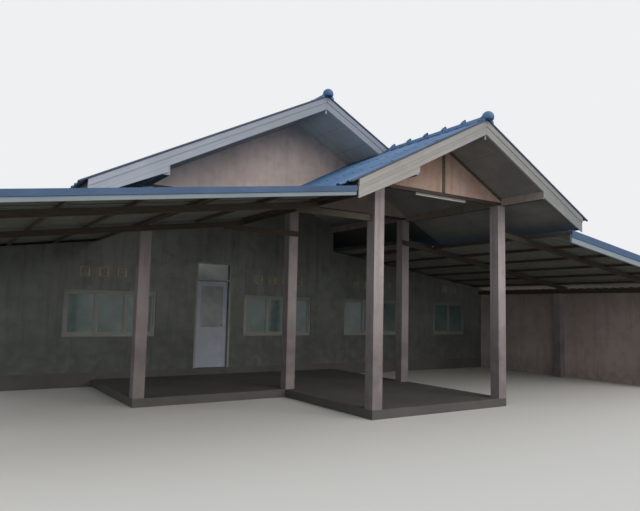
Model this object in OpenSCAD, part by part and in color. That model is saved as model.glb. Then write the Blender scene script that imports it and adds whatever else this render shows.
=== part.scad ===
// Single-storey bungalow: a main gable and a lower porch gable side by side, both facing the street,
// with a low lean-to wing on either side of the porch. X runs along the street front, Y into the
// house and Z up. The origin is on the ground, under the main ridge, on the line of the front columns.
// All sizes are millimetres.

/* [Plan] */
// Spacing of the column lines across the front
bay = 3000; // [2600:50:3400]
// Depth of the porch, from its columns to the front columns of the house
porch_depth = 2750; // [2200:50:3400]
// Depth of the veranda, from the front columns to the house wall
veranda_depth = 3000; // [2200:50:3600]
// Depth of the closed rooms, between wall centres
room_depth = 6000; // [4600:100:7600]
// Side of the square columns
col_w = 200; // [160:10:260]
// Thickness of the walls
wall_t = 120; // [90:10:180]

/* [Levels] */
// Height of the veranda floor above the ground
slab_h = 150; // [100:10:300]
// Step from the veranda up to the room floor
step_h = 150; // [100:10:200]
// Height of the house columns above the veranda floor
house_col_h = 3680; // [3500:10:3900]
// Height of the porch columns above the veranda floor
porch_col_h = 3643; // [3450:1:3700]

/* [Main and porch roofs] */
// Pitch of both gable roofs
pitch = 27.3; // [24:0.1:30]
// Eaves of the main roof, from the column line out
main_eave = 1237; // [1000:10:1350]
// Eaves of the porch roof, from the column line out
porch_eave = 1143; // [1000:10:1200]
// Front and rear overhang of the main roof, from the column line
main_verge = 1220; // [900:10:1400]
// Front overhang of the porch roof, from the column line
porch_verge = 1050; // [800:10:1200]
// Thickness of the corrugated sheets, crest to trough
sheet_t = 40; // [30:1:60]
// Reach of the sheets past the eaves boards
sheet_reach = 110; // [80:5:150]
// Reach of the sheets past the bargeboards
sheet_lip = 20; // [10:1:40]
// Depth of the purlins
purlin_d = 75; // [60:5:100]
// Depth of the rafters
rafter_d = 125; // [100:5:150]
// Thickness of the ceiling lining under the rafters
lining_t = 10; // [6:1:15]
// Width of the rafters and purlins
timber_w = 50; // [40:5:75]
// Greatest spacing of the purlins
purlin_gap = 900; // [700:50:1200]

/* [Bargeboards and eaves boards] */
// Upright depth of the bargeboards
board_v = 240; // [220:5:300]
// Extra depth just outside the step over the column line
drop_step = 100; // [60:5:140]
// Extra depth at the lower end
drop_end = 35; // [20:5:60]
// Distance of the step outside the column line, on the porch
porch_step_out = -10; // [-10:5:60]
// Distance of the step outside the column line, on the main roof
main_step_out = 20; // [-10:5:60]
// Thickness of the bargeboards
board_t = 25; // [18:1:35]
// Depth of the strip planted on the upper edge of the bargeboards
strip_v = 100; // [70:5:130]
// Thickness of the planted strip
strip_t = 14; // [8:1:20]

/* [Ridges] */
// Length of one ridge tile
tile_l = 470; // [400:10:600]
// Reach of the first tile past the bargeboards
tile_lip = 85; // [40:5:120]
// Reach of a ridge tile down each slope
tile_run = 150; // [110:5:180]
// Thickness of the ridge tile wings
tile_t = 16; // [10:1:25]
// Radius of the roll on the ridge tiles
roll_r = 55; // [45:1:75]
// Length of the flared collar at the front end of each tile
collar_l = 130; // [60:5:180]
// How far the collar flares out past the roll at its front end
collar_rise = 45; // [12:1:60]
// Number of steps in which the collar flares
collar_steps = 3; // [2:1:5]
// Thickness of the collar's lip on the wings of a tile
collar_t = 12; // [6:1:20]
// Length of that lip
lip_l = 35; // [20:5:60]

/* [Beams] */
// Width of the plate beams along the column lines
plate_w = 110; // [90:5:120]
// Distance of their inner face inside the column line
plate_in = 10; // [-10:5:40]
// Depth of the main plate beams at the column line
plate_h = 163; // [145:1:190]
// Depth of the porch plate beams at the column line
porch_plate_h = 135; // [120:1:170]
// Depth of the porch tie beam under the pediment
porch_tie_h = 60; // [40:5:90]
// Depth of the tie beam under the main gable panel
main_tie_h = 50; // [40:5:90]
// Thickness of the gable panels
panel_t = 100; // [60:5:140]
// Width of the middle post of the pediment
mullion_w = 62; // [40:1:90]
// Place of the middle post, from the ridge line
mullion_x = -45; // [-80:5:80]
// Depth of the raking trim of the pediment
trim_v = 60; // [40:5:80]
// How far post and trim stand proud of the pediment
trim_t = 12; // [6:1:20]

/* [Left wing] */
// Height of the left wing roof at the porch eaves
left_top = 3480; // [3400:5:3490]
// Fall of the left wing roof
left_fall = 8.1; // [6:0.1:9]
// Depth of the left blue verge flashing
left_flash_h = 78; // [70:1:110]
// Depth of the left white front rafter
left_front_h = 55; // [50:1:100]
// Gap between the left verge and the end of the porch bargeboard
left_gap = 30; // [0:5:60]

/* [Right wing] */
// Height of the right wing roof at its inner end
right_top = 3305; // [3240:5:3310]
// How far the right wing is tucked under the porch eaves
right_tuck = 310; // [150:5:320]
// Fall of the right wing roof
right_fall = 7.8; // [6:0.1:9]
// Depth of the right blue verge flashing
right_flash_h = 130; // [80:1:150]
// Depth of the right white front rafter
right_front_h = 100; // [60:1:110]

/* [Wing framing] */
// Eaves of the wings, from the outer column line
wing_eave = 600; // [300:10:800]
// Rear overhang of the wings, past the rear wall
wing_rear = 500; // [300:10:800]
// Thickness of the wing sheets
wing_sheet_t = 30; // [20:1:40]
// Depth of the wing purlins
wing_purlin_d = 50; // [40:5:60]
// Depth of the wing rafters
wing_rafter_d = 100; // [80:5:120]
// Width of the wing rafters and purlins
wing_timber_w = 50; // [40:5:60]
// Greatest spacing of the wing purlins
wing_purlin_gap = 1000; // [700:50:1300]
// Thickness of the verge flashing
flash_t = 15; // [8:1:25]
// Thickness of the white front rafter
front_t = 40; // [30:1:60]
// Side of the outer beams
wing_beam = 100; // [80:5:140]
// Length of the rafters' inner end that rests on a bearer
bearer_lap = 400; // [200:10:600]

/* [Windows] */
// Height of the window sills above the room floor
sill_h = 750; // [600:10:950]
// Height of the windows
window_h = 1000; // [800:10:1200]
// Width of the window frame bars
frame_w = 50; // [35:1:70]
// Depth of the window frames
frame_d = 80; // [50:1:90]
// Width of one casement
casement_w = 620; // [500:10:700]
// Width of the casement rails
rail_w = 40; // [25:1:55]
// Thickness of the glass
glass_t = 6; // [4:1:10]
// Side of the square vent blocks
vent_w = 190; // [150:10:220]
// Number of level slots in a vent block
vent_slots = 4; // [3:1:6]
// Width of the rim round the slots
vent_rim = 18; // [12:1:25]
// Height of the vent blocks above the room floor
vent_h = 2050; // [2000:10:2150]
// Distance between neighbouring vent blocks
vent_gap = 200; // [120:10:260]

/* [Front door] */
// Centre of the door along the front
door_x = -400; // [-450:10:-350]
// Width of the door opening in the wall
door_w = 900; // [840:10:960]
// Height of the door opening with its fanlight
door_open_h = 2520; // [2400:10:2600]
// Width of the door frame bars
jamb_w = 45; // [35:1:60]
// Height of the door leaf
leaf_h = 2050; // [1950:10:2100]
// Thickness of the door leaf
leaf_t = 38; // [32:1:44]
// Gap round the door leaf
leaf_gap = 7; // [6:1:9]
// Width of the stiles of the door leaf
stile_w = 110; // [90:5:130]
// Height of the solid lower part of the leaf
kick_h = 950; // [800:10:1050]
// How deep the lower panel is sunk on each face
panel_sink = 8; // [4:1:12]
// Height of the door handle above the room floor
handle_h = 1020; // [900:10:1100]
// Radius of the roses of the handle
rose_r = 25; // [20:1:30]
// Thickness of the roses
rose_t = 8; // [5:1:12]
// Radius of the lever and its neck
lever_r = 9; // [7:0.5:11]
// Distance of the lever from the leaf
neck_l = 45; // [35:1:60]
// Length of the lever
lever_l = 120; // [90:5:140]
// Length of the door hinges
hinge_l = 90; // [70:5:110]
// Distance of the outer hinges from the ends of the leaf
hinge_in = 180; // [120:10:250]
// Thickness of the hinge plates
hinge_t = 2.5; // [2:0.5:4]
// Radius of the hinge knuckles
hinge_r = 7; // [6:0.5:9]
// Width of each hinge plate, from the pin
hinge_w = 26; // [20:1:32]
// Radius of the hinge pins
pin_r = 3; // [2:0.5:4]

/* [Tube light] */
// Length of the tube light batten
light_l = 1226; // [600:1:1500]
// Width of the batten
light_w = 45; // [40:1:70]
// Depth of the batten
batten_h = 18; // [14:1:30]
// Length of the holder at each end of the tube
holder_l = 24; // [15:1:40]
// Radius of the tube
tube_r = 13; // [8:1:19]
// Gap between tube and batten
tube_gap = 4; // [1:1:8]
// Middle of the light, from the ridge line
light_x = -62; // [-200:1:200]

/* [Hidden] */

$fn = 48;

// Clearance between pieces that lap without touching
lap = 0.3;
// Reach of cutting shapes past what they cut
past = 20;
// Larger than the house each way, for half spaces
far = 30000;

// Lines of the plan
porch_x = bay / 2;
left_x = -2 * bay;
right_x = 3 * bay;
porch_y = -porch_depth;
wall_y = veranda_depth;
rear_y = veranda_depth + room_depth;
front_face = -col_w / 2;
porch_front = porch_y - porch_verge;
main_front = -main_verge;
main_rear = rear_y + main_verge;
wing_front = porch_front;
wing_frame_y = wing_front + flash_t + front_t;
wing_back = rear_y + wing_rear;

// Levels
floor_z = slab_h + step_h;
main_plate_z = slab_h + house_col_h;
porch_plate_z = slab_h + porch_col_h;

// Roof build-up: the reference line of a slope is the underside of its sheets
rise = tan(pitch);
roof_d = purlin_d + rafter_d + lining_t;
main_run = bay + main_eave;
porch_run = bay / 2 + porch_eave;
main_apex = main_plate_z + plate_h + plumb(roof_d) + bay * rise;
porch_apex = porch_plate_z + porch_plate_h + plumb(roof_d) + bay / 2 * rise;

// Lower beam of the clerestory walls
clerestory_z = 2950;

// Wings: the inner end of each roof and its lines
left_in = porch_x - porch_run;
right_in = porch_x + porch_run - right_tuck;
left_out = left_x - wing_eave;
right_out = right_x + wing_eave;
wing_inner = bay + col_w / 2;
under_sheet = wing_sheet_t + lap;
under_purlin = under_sheet + wing_purlin_d;
under_rafter = under_purlin + wing_rafter_d;
left_beam_z = left_z(left_x) - under_rafter - wing_beam;
right_beam_x = right_x - wall_t / 2 - wing_beam / 2;
right_beam_z = right_z(right_beam_x) - under_rafter - wing_beam;

// Windows of the front wall: centre and number of casements
front_windows = [[-bay + 230, 3], [porch_x - 100, 3], [bay + 1450, 3], [2 * bay + 1500, 2]];
rear_windows = [[-bay - 1450, 2], [-600, 3], [bay - 1200, 2], [2 * bay, 3]];
side_windows = [wall_y + room_depth * 0.3, wall_y + room_depth * 0.7];

// Door: the leaf closes flush with the inner face of the wall
door_l = door_x - door_w / 2;
door_r = door_x + door_w / 2;
leaf_w = door_w - 2 * jamb_w - 2 * leaf_gap;
leaf_x = door_l + jamb_w + leaf_gap;
leaf_y = wall_y + wall_t / 2 - leaf_t;
leaf_z = floor_z + leaf_gap;
transom_z = leaf_z + leaf_h + leaf_gap;

// Hinge line, just inside the wall's inner face, and the foot of each hinge
hinge_x = leaf_x - leaf_gap / 2;
hinge_y = wall_y + wall_t / 2 + hinge_r;
hinge_zs = [leaf_z + hinge_in, leaf_z + leaf_h / 2, leaf_z + leaf_h - hinge_in - hinge_l];

cream = [0.83, 0.78, 0.75];
pink = [0.80, 0.62, 0.56];
blue = [0.27, 0.42, 0.66];
grey = [0.50, 0.51, 0.53];
dark = [0.25, 0.20, 0.17];
concrete = [0.58, 0.57, 0.54];

// Upright measure of a thickness square to the main slopes
function plumb(d) = d / cos(pitch);

// Height of a main or porch slope at a run from its ridge, with an offset square to the slope
function slope_z(apex, run, w) = apex - run * rise + plumb(w);

// Height of the top of a wing roof at a place along the front
function left_z(x) = left_top - (left_in - x) * tan(left_fall);
function right_z(x) = right_top - (x - right_in) * tan(right_fall);

// Width of a window of n casements
function window_w(n) = n * casement_w + 2 * frame_w;

// Places a profile drawn in X and Z between two planes of Y
module along_y(y0, y1) {
    translate([0, y1, 0]) rotate([90, 0, 0]) linear_extrude(y1 - y0) children();
}

// Places a profile drawn in Y and Z between two planes of X
module along_x(x0, x1) {
    translate([x0, 0, 0]) rotate([90, 0, 90]) linear_extrude(x1 - x0) children();
}

// Box between two corners
module box(a, b) {
    translate(a) cube(b - a);
}

// Band of a slope, drawn in X and Z from the ridge, between two runs and two offsets
module band(run0, run1, w0, w1) {
    polygon([[run0, slope_z(0, run0, w0)], [run1, slope_z(0, run1, w0)],
        [run1, slope_z(0, run1, w1)], [run0, slope_z(0, run0, w1)]]);
}

// Puts a profile of the right slope on the right (1) or the left (-1) of a ridge
module on_slope(x, apex, side) {
    translate([x, apex]) mirror([side < 0 ? 1 : 0, 0]) children();
}

module slope_piece(x, apex, side, run0, run1, w0, w1, y0, y1) {
    along_y(y0, y1) on_slope(x, apex, side) band(run0, run1, w0, w1);
}

// Everything right of and below the top of the left porch slope, in front of the main gable panel
module porch_cut() {
    top = porch_apex + plumb(sheet_t) + lap;
    along_y(porch_front - far, front_face)
        polygon([[porch_x - far, top - far * rise], [porch_x + far, top + far * rise],
            [porch_x + far, -far], [porch_x - far, -far * 2]]);
}

// Floors
module veranda_slab() {
    color(concrete) linear_extrude(slab_h) union() {
        translate([-bay + front_face, front_face])
            square([2 * bay + col_w, wall_y - wall_t / 2 - front_face]);
        translate([front_face, porch_y + front_face]) square([bay + col_w, porch_depth + past]);
    }
}

module room_floor() {
    color(concrete) box([left_x - wall_t / 2, wall_y - wall_t / 2, 0],
        [right_x + wall_t / 2, rear_y + wall_t / 2, floor_z]);
}

// Square column on its centre
module column(x, y, z0, z1) {
    translate([x - col_w / 2, y - col_w / 2, z0]) cube([col_w, col_w, z1 - z0]);
}

module porch_columns() {
    color(pink) for (x = [0, bay]) column(x, porch_y, slab_h, porch_plate_z);
}

module house_columns() {
    color(pink) {
        for (x = [-bay, 0, bay]) column(x, 0, slab_h, main_plate_z);
        for (x = [-bay, bay]) column(x, wall_y + room_depth / 2, floor_z, clerestory_z);
    }
}

// The right pair stands against the inner face of the side wall
module wing_columns() {
    color(pink) for (y = [porch_y, 0]) {
        column(left_x, y, 0, left_beam_z);
        column(right_x - wall_t / 2 - col_w / 2, y, 0, right_beam_z);
    }
}

// Beam along a column line, its top cut to the slope of the lining
module plate(x, apex, run, side, z0, y0, y1) {
    r0 = run - plate_in;
    r1 = r0 + plate_w;
    under = -roof_d - lap;
    along_y(y0, y1) on_slope(x, 0, side)
        polygon([[r0, z0], [r1, z0], [r1, slope_z(apex, r1, under)], [r0, slope_z(apex, r0, under)]]);
}

module porch_plates() {
    color(pink) for (side = [-1, 1])
        plate(porch_x, porch_apex, bay / 2, side, porch_plate_z, porch_front + board_t, front_face);
}

module main_plates() {
    color(pink) {
        plate(0, main_apex, bay, -1, main_plate_z, main_front + board_t, main_rear - board_t);
        plate(0, main_apex, bay, 1, main_plate_z, front_face, main_rear - board_t);
    }
}

// Beams across the front, level with the undersides of the plates
module tie_beams() {
    color(dark) {
        box([porch_x - bay / 2 + plate_in, porch_y + front_face, porch_plate_z],
            [porch_x + bay / 2 - plate_in, porch_y + front_face + panel_t, porch_plate_z + porch_tie_h]);
        box([-bay + plate_in, front_face, main_plate_z],
            [bay - plate_in, front_face + panel_t, main_plate_z + main_tie_h]);
    }
}

// Gable shape under the lining, from a foot level up, between two runs
module gable_face(x, apex, foot, half) {
    under = -roof_d - lap;
    translate([x, 0]) polygon([[-half, foot], [half, foot], [half, slope_z(apex, half, under)],
        [0, slope_z(apex, 0, under)], [-half, slope_z(apex, half, under)]]);
}

module pediment_face() {
    gable_face(porch_x, porch_apex, porch_plate_z + porch_tie_h, bay / 2 - plate_in);
}

module mullion_line() {
    translate([porch_x + mullion_x - mullion_w / 2, 0]) square([mullion_w, far]);
}

module pediment_panels() {
    y0 = porch_y + front_face;
    color(pink) along_y(y0, y0 + panel_t) difference() {
        pediment_face();
        mullion_line();
    }
}

// Middle post and the two raking strips of the pediment, proud of its face
module pediment_trim() {
    y0 = porch_y + front_face;
    color(dark) {
        along_y(y0 - trim_t, y0 + panel_t) intersection() {
            pediment_face();
            mullion_line();
        }
        along_y(y0 - trim_t, y0) difference() {
            pediment_face();
            translate([0, -trim_v]) pediment_face();
            translate([porch_x - far, porch_plate_z]) square([2 * far, porch_tie_h]);
        }
    }
}

module gable_panel() {
    color(pink) along_y(front_face, front_face + panel_t)
        gable_face(0, main_apex, main_plate_z + main_tie_h, bay - plate_in);
}

// Outline of the front and rear walls: raked under the wings, gabled under the main roof
module wall_outline() {
    l = left_x - wall_t / 2;
    r = right_x + wall_t / 2;
    m = bay + wall_t / 2;
    d = under_purlin + lap;
    polygon([[l, floor_z], [-m, floor_z], [-m, left_z(-m) - d], [l, left_z(l) - d]]);
    polygon([[m, floor_z], [r, floor_z], [r, right_z(r) - d], [m, right_z(m) - d]]);
    translate([-m, floor_z]) square([2 * m, main_plate_z - floor_z]);
    gable_face(0, main_apex, main_plate_z - past, bay - plate_in);
}

module window_holes(list) {
    for (win = list) translate([win[0] - window_w(win[1]) / 2, floor_z + sill_h])
        square([window_w(win[1]), window_h]);
}

// Number and places of the vent blocks over a window
function vent_count(n) = floor((window_w(n) - vent_gap) / (vent_w + vent_gap));
function vent_x(n, i) = (i - (vent_count(n) - 1) / 2) * (vent_w + vent_gap);

module vent_places(list) {
    for (win = list, i = [0:vent_count(win[1]) - 1])
        translate([win[0] + vent_x(win[1], i), floor_z + vent_h]) children();
}

module vent_holes(list) {
    vent_places(list) translate([-vent_w / 2, 0]) square(vent_w);
}

// A stretch of the front wall between two places along the front
module front_wall(x0, x1, z0) {
    color(cream) along_y(wall_y - wall_t / 2, wall_y + wall_t / 2) difference() {
        intersection() {
            wall_outline();
            translate([x0, z0]) square([x1 - x0, far]);
        }
        window_holes(front_windows);
        vent_holes(front_windows);
    }
}

module front_wall_left() {
    front_wall(-far, door_l, 0);
}

module front_wall_right() {
    front_wall(door_r, far, 0);
}

module front_wall_over_door() {
    front_wall(door_l, door_r, floor_z + door_open_h);
}

module rear_wall() {
    color(cream) along_y(rear_y - wall_t / 2, rear_y + wall_t / 2) difference() {
        wall_outline();
        window_holes(rear_windows);
        vent_holes(rear_windows);
    }
}

// Side wall drawn in Y and Z, between the front and rear walls
module side_outline(top) {
    translate([wall_y + wall_t / 2, floor_z]) square([room_depth - wall_t, top - floor_z]);
}

module side_holes() {
    for (y = side_windows) translate([y - window_w(2) / 2, floor_z + sill_h])
        square([window_w(2), window_h]);
}

module side_wall_left() {
    color(cream) along_x(left_x - wall_t / 2, left_x + wall_t / 2) difference() {
        side_outline(left_z(left_x - wall_t / 2) - under_sheet);
        side_holes();
    }
}

// The right side wall runs on to the front and closes the side of the carport
module side_wall_right() {
    color(cream) {
        low = right_z(right_x + wall_t / 2);
        along_x(right_x - wall_t / 2, right_x + wall_t / 2) difference() {
            union() {
                side_outline(low - under_sheet);
                translate([porch_y + front_face, 0])
                    square([wall_y - wall_t / 2 - porch_y - front_face, low - under_rafter]);
            }
            side_holes();
        }
    }
}

module clerestory_walls() {
    color(cream) for (x = [-bay, bay])
        box([x - wall_t / 2, wall_y + wall_t / 2, clerestory_z],
            [x + wall_t / 2, rear_y - wall_t / 2, main_plate_z]);
}

// Sheets of the four slopes
module main_sheets(side) {
    color(blue) slope_piece(0, main_apex, side, 0, main_run + sheet_reach, 0, sheet_t,
        main_front - sheet_lip, main_rear + sheet_lip);
}

module porch_sheets(side) {
    color(blue) slope_piece(porch_x, porch_apex, side, 0, porch_run + sheet_reach, 0, sheet_t,
        porch_front - sheet_lip, front_face);
}

module main_roof_left() {
    main_sheets(-1);
}

module main_roof_right() {
    main_sheets(1);
}

module porch_roof_left() {
    porch_sheets(-1);
}

module porch_roof_right() {
    porch_sheets(1);
}

module main_lining() {
    color(grey) difference() {
        for (side = [-1, 1]) slope_piece(0, main_apex, side, side < 0 ? 0 : lap, main_run - board_t,
            -roof_d, -roof_d + lining_t, main_front + board_t, main_rear - board_t);
        porch_cut();
    }
}

module porch_lining() {
    color(grey) for (side = [-1, 1]) slope_piece(porch_x, porch_apex, side, side < 0 ? 0 : lap,
        porch_run - board_t, -roof_d, -roof_d + lining_t, porch_front + board_t, front_face);
}

// Rafters over the column lines and purlins across them, shut in between lining and sheets
module timbers(x, apex, run, rafter_ys, y0, y1) {
    rafter_w = -roof_d + lining_t + lap;
    count = ceil((run - board_t - timber_w) / purlin_gap);
    for (side = [-1, 1]) {
        for (y = rafter_ys) slope_piece(x, apex, side, side < 0 ? 0 : lap, run - board_t - lap, rafter_w,
            -purlin_d - lap, y - timber_w / 2, y + timber_w / 2);
        for (i = [0:count]) {
            at = lap + i * (run - board_t - timber_w - 2 * lap) / count;
            slope_piece(x, apex, side, at, at + timber_w, -purlin_d, -lap, y0, y1);
        }
    }
}

module roof_timbers() {
    color(dark) {
        difference() {
            timbers(0, main_apex, main_run, [0, wall_y, (wall_y + rear_y) / 2, rear_y],
                main_front + board_t + lap, main_rear - board_t - lap);
            porch_cut();
        }
        timbers(porch_x, porch_apex, porch_run, [porch_y, porch_y / 2],
            porch_front + board_t + lap, front_face - lap);
    }
}

// Wings of the ridge tiles down both slopes, from a little above the sheets, with a reach and thickness
module tile_wings(run, thick) {
    low = plumb(sheet_t) + lap;
    high = low + plumb(thick);
    polygon([[-run, low - run * rise], [0, low], [run, low - run * rise], [run, high - run * rise],
        [0, high], [-run, high - run * rise]]);
}

// Profile of a roll or collar, above the middle of the wings
module roll_profile(r) {
    low = plumb(sheet_t) + plumb(tile_t) / 2;
    intersection() {
        translate([0, plumb(sheet_t) + plumb(tile_t)]) circle(r = r);
        polygon([[0, low], [far, low - far * rise], [far, far], [-far, far], [-far, low - far * rise]]);
    }
}

// Row of ridge tiles from front to back, each with a collar at its front end that flares in steps
module ridge(x, apex, y0, y1) {
    count = ceil((y1 - y0) / tile_l);
    step_l = collar_l / collar_steps;
    translate([x, 0, apex]) {
        along_y(y0 + lip_l / 2, y1) {
            tile_wings(tile_run, tile_t);
            roll_profile(roll_r);
        }
        for (i = [0:count - 1]) {
            y = y0 + i * tile_l;
            along_y(y, min(y + lip_l, y1)) tile_wings(tile_run + collar_t, tile_t + collar_t);
            for (k = [0:collar_steps - 1]) if (y + k * step_l < y1)
                along_y(y + k * step_l, min(y + (k + 1) * step_l, y1))
                    roll_profile(roll_r + collar_rise * (1 - k / collar_steps));
        }
    }
}

module main_ridge() {
    color(blue) ridge(0, main_apex, main_front - tile_lip, main_rear + tile_lip);
}

module porch_ridge() {
    color(blue) ridge(porch_x, porch_apex, porch_front - tile_lip, main_front - tile_lip);
}

// Stepped bargeboard of one slope, with the strip planted on its upper edge
module bargeboard(x, apex, side, run, step_run, y0, out) {
    along_y(y0, y0 + board_t) on_slope(x, apex, side)
        polygon([[0, -lap], [run, -run * rise - lap], [run, -run * rise - board_v - drop_end],
            [step_run, -step_run * rise - board_v - drop_step], [step_run, -step_run * rise - board_v],
            [0, -board_v]]);
    strip_y = out < 0 ? y0 - strip_t : y0 + board_t;
    along_y(strip_y, strip_y + strip_t) on_slope(x, apex, side)
        polygon([[0, -lap], [run, -run * rise - lap], [run, -run * rise - strip_v], [0, -strip_v]]);
}

module main_bargeboards() {
    color(cream) for (side = [-1, 1]) {
        difference() {
            bargeboard(0, main_apex, side, main_run, bay + main_step_out, main_front, -1);
            porch_cut();
        }
        bargeboard(0, main_apex, side, main_run, bay + main_step_out, main_rear - board_t, 1);
    }
}

module porch_bargeboards() {
    color(cream) for (side = [-1, 1])
        bargeboard(porch_x, porch_apex, side, porch_run, bay / 2 + porch_step_out, porch_front, -1);
}

// Boards along the eaves, between the bargeboards
module eaves_board(x, apex, side, run, y0, y1) {
    along_y(y0, y1) on_slope(x, apex, side)
        polygon([[run - board_t, -(run - board_t) * rise - lap], [run, -run * rise - lap],
            [run, -run * rise - board_v], [run - board_t, -run * rise - board_v]]);
}

module eaves_boards() {
    color(dark) {
        eaves_board(0, main_apex, -1, main_run, main_front + board_t, main_rear - board_t);
        eaves_board(0, main_apex, 1, main_run, front_face, main_rear - board_t);
        for (side = [-1, 1])
            eaves_board(porch_x, porch_apex, side, porch_run, porch_front + board_t, front_face);
    }
}

// Bands of the wings, drawn in X and Z, between two places and two depths under the top
module left_band(x0, x1, d0, d1) {
    z0 = left_z(x0);
    z1 = left_z(x1);
    polygon([[x0, z0 - d1], [x1, z1 - d1], [x1, z1 - d0], [x0, z0 - d0]]);
}

module right_band(x0, x1, d0, d1) {
    z0 = right_z(x0);
    z1 = right_z(x1);
    polygon([[x0, z0 - d1], [x1, z1 - d1], [x1, z1 - d0], [x0, z0 - d0]]);
}

module left_wing_roof() {
    color(blue) {
        along_y(wing_front + flash_t, front_face - past) left_band(left_out, left_in, 0, wing_sheet_t);
        along_y(front_face - past, wall_y) left_band(left_out, -wing_inner, 0, wing_sheet_t);
        along_y(wall_y, wing_back) left_band(left_out, -bay - wall_t / 2, 0, wing_sheet_t);
    }
}

module right_wing_roof() {
    color(blue) {
        along_y(wing_front + flash_t, front_face - past) right_band(right_in, right_out, 0, wing_sheet_t);
        along_y(front_face - past, wall_y) right_band(wing_inner, right_out, 0, wing_sheet_t);
        along_y(wall_y, wing_back) right_band(bay + wall_t / 2, right_out, 0, wing_sheet_t);
    }
}

module wing_verges() {
    color(blue) along_y(wing_front, wing_front + flash_t) {
        left_band(left_out, left_in - left_gap, 0, left_flash_h);
        right_band(right_in, right_out, 0, right_flash_h);
    }
}

// White rafters behind the flashings, from the purlins down
module wing_front_rafters() {
    top = under_purlin + lap;
    color(cream) along_y(wing_front + flash_t, wing_frame_y) {
        left_band(left_out, left_in - left_gap, top, left_flash_h + left_front_h);
        right_band(right_in, right_out, top, right_flash_h + right_front_h);
    }
}

// Profile of an outer beam about x, from its foot up to the rafters, whose top is at h0 and h1
module beam_profile(x, foot, h0, h1) {
    half = wing_beam / 2;
    d = under_rafter + lap;
    polygon([[x - half, foot], [x + half, foot], [x + half, h1 - d], [x - half, h0 - d]]);
}

// Level beams over the outer columns, their tops cut to the rafters
module wing_beams() {
    half = wing_beam / 2;
    along_y(wing_frame_y, wall_y - wall_t / 2) {
        beam_profile(left_x, left_beam_z, left_z(left_x - half), left_z(left_x + half));
        beam_profile(right_beam_x, right_beam_z, right_z(right_beam_x - half), right_z(right_beam_x + half));
    }
}

// Places along X of a row of purlins between two places, the first and last flush with them
function purlin_xs(x0, x1) =
    let (run = x1 - x0 - wing_timber_w, count = max(1, ceil(run / wing_purlin_gap)))
    [for (i = [0:count]) x0 + i * run / count];

// Purlins along Y. The rows beside the house run right through; the left wing has more in front of
// the veranda, and the right wing more beside it.
module wing_purlins() {
    w = wing_timber_w;
    low = under_purlin - lap;
    for (x = purlin_xs(left_out, -wing_inner)) along_y(wing_front + flash_t + lap, wing_back)
        left_band(x, x + w, under_sheet, low);
    for (x = purlin_xs(-wing_inner + w, left_in))
        along_y(wing_front + flash_t + lap, front_face - past) left_band(x, x + w, under_sheet, low);
    for (x = purlin_xs(right_in, right_out)) along_y(wing_front + flash_t + lap, wing_back)
        right_band(x, x + w, under_sheet, low);
    for (x = purlin_xs(wing_inner, right_in - w)) along_y(front_face - w, wing_back)
        right_band(x, x + w, under_sheet, low);
}

// Level bearer under the inner end of a left rafter, out from its column at x
module left_bearer(x) {
    d = under_rafter + lap;
    end = left_in - bearer_lap;
    top = left_z(left_in) - d;
    polygon([[x, top - wing_rafter_d], [x, top], [left_in, top], [end, left_z(end) - d],
        [end, top - wing_rafter_d]]);
}

// Raking rafters from the outer beams up to the columns, and one across the rooms
module wing_rafters() {
    half = wing_timber_w / 2;
    mid_y = wall_y + room_depth / 2;
    along_y(porch_y - half, porch_y + half) {
        left_band(left_x - wing_beam, left_in - lap, under_purlin, under_rafter);
        left_bearer(front_face);
        right_band(bay + col_w / 2, right_x + wall_t / 2, under_purlin, under_rafter);
    }
    along_y(front_face - 2 * half, front_face) {
        left_band(left_x - wing_beam, left_in - lap, under_purlin, under_rafter);
        left_bearer(col_w / 2);
        right_band(bay - col_w / 2, right_x + wall_t / 2, under_purlin, under_rafter);
    }
    along_y(mid_y - half, mid_y + half) {
        left_band(left_x + wall_t / 2, -bay - wall_t / 2, under_purlin, under_rafter);
        right_band(bay + wall_t / 2, right_x - wall_t / 2, under_purlin, under_rafter);
    }
}

module wing_frames() {
    color(dark) {
        wing_purlins();
        wing_rafters();
        wing_beams();
    }
}

// Window of n casements, drawn in X and Z from the middle of its sill
module frame_profile(n) {
    w = window_w(n);
    difference() {
        translate([-w / 2, 0]) square([w, window_h]);
        pane_profile(n);
    }
}

module pane_profile(n) {
    for (i = [0:n - 1])
        translate([-window_w(n) / 2 + frame_w + i * casement_w + rail_w, frame_w + rail_w])
            square([casement_w - 2 * rail_w, window_h - 2 * frame_w - 2 * rail_w]);
}

// All the windows, their profile drawn through a depth centred in the wall
module each_window(y_depth, glass) {
    for (set = [[front_windows, wall_y], [rear_windows, rear_y]], win = set[0])
        translate([win[0], 0, floor_z + sill_h]) along_y(set[1] - y_depth / 2, set[1] + y_depth / 2)
            if (glass) pane_profile(win[1]); else frame_profile(win[1]);
    for (x = [left_x, right_x], y = side_windows)
        translate([0, y, floor_z + sill_h]) along_x(x - y_depth / 2, x + y_depth / 2)
            if (glass) pane_profile(2); else frame_profile(2);
}

module window_frames() {
    color(cream) each_window(frame_d, false);
}

module window_glass() {
    color([0.62, 0.74, 0.76]) {
        each_window(glass_t, true);
        box([door_l + jamb_w, wall_y - glass_t / 2, transom_z + jamb_w],
            [door_r - jamb_w, wall_y + glass_t / 2, floor_z + door_open_h - jamb_w]);
    }
}

// Vent block with level slots
module vent_profile() {
    slot_h = (vent_w - 2 * vent_rim) / (2 * vent_slots - 1);
    difference() {
        translate([-vent_w / 2, 0]) square(vent_w);
        for (i = [0:vent_slots - 1]) translate([-vent_w / 2 + vent_rim, vent_rim + 2 * i * slot_h])
            square([vent_w - 2 * vent_rim, slot_h]);
    }
}

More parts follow.
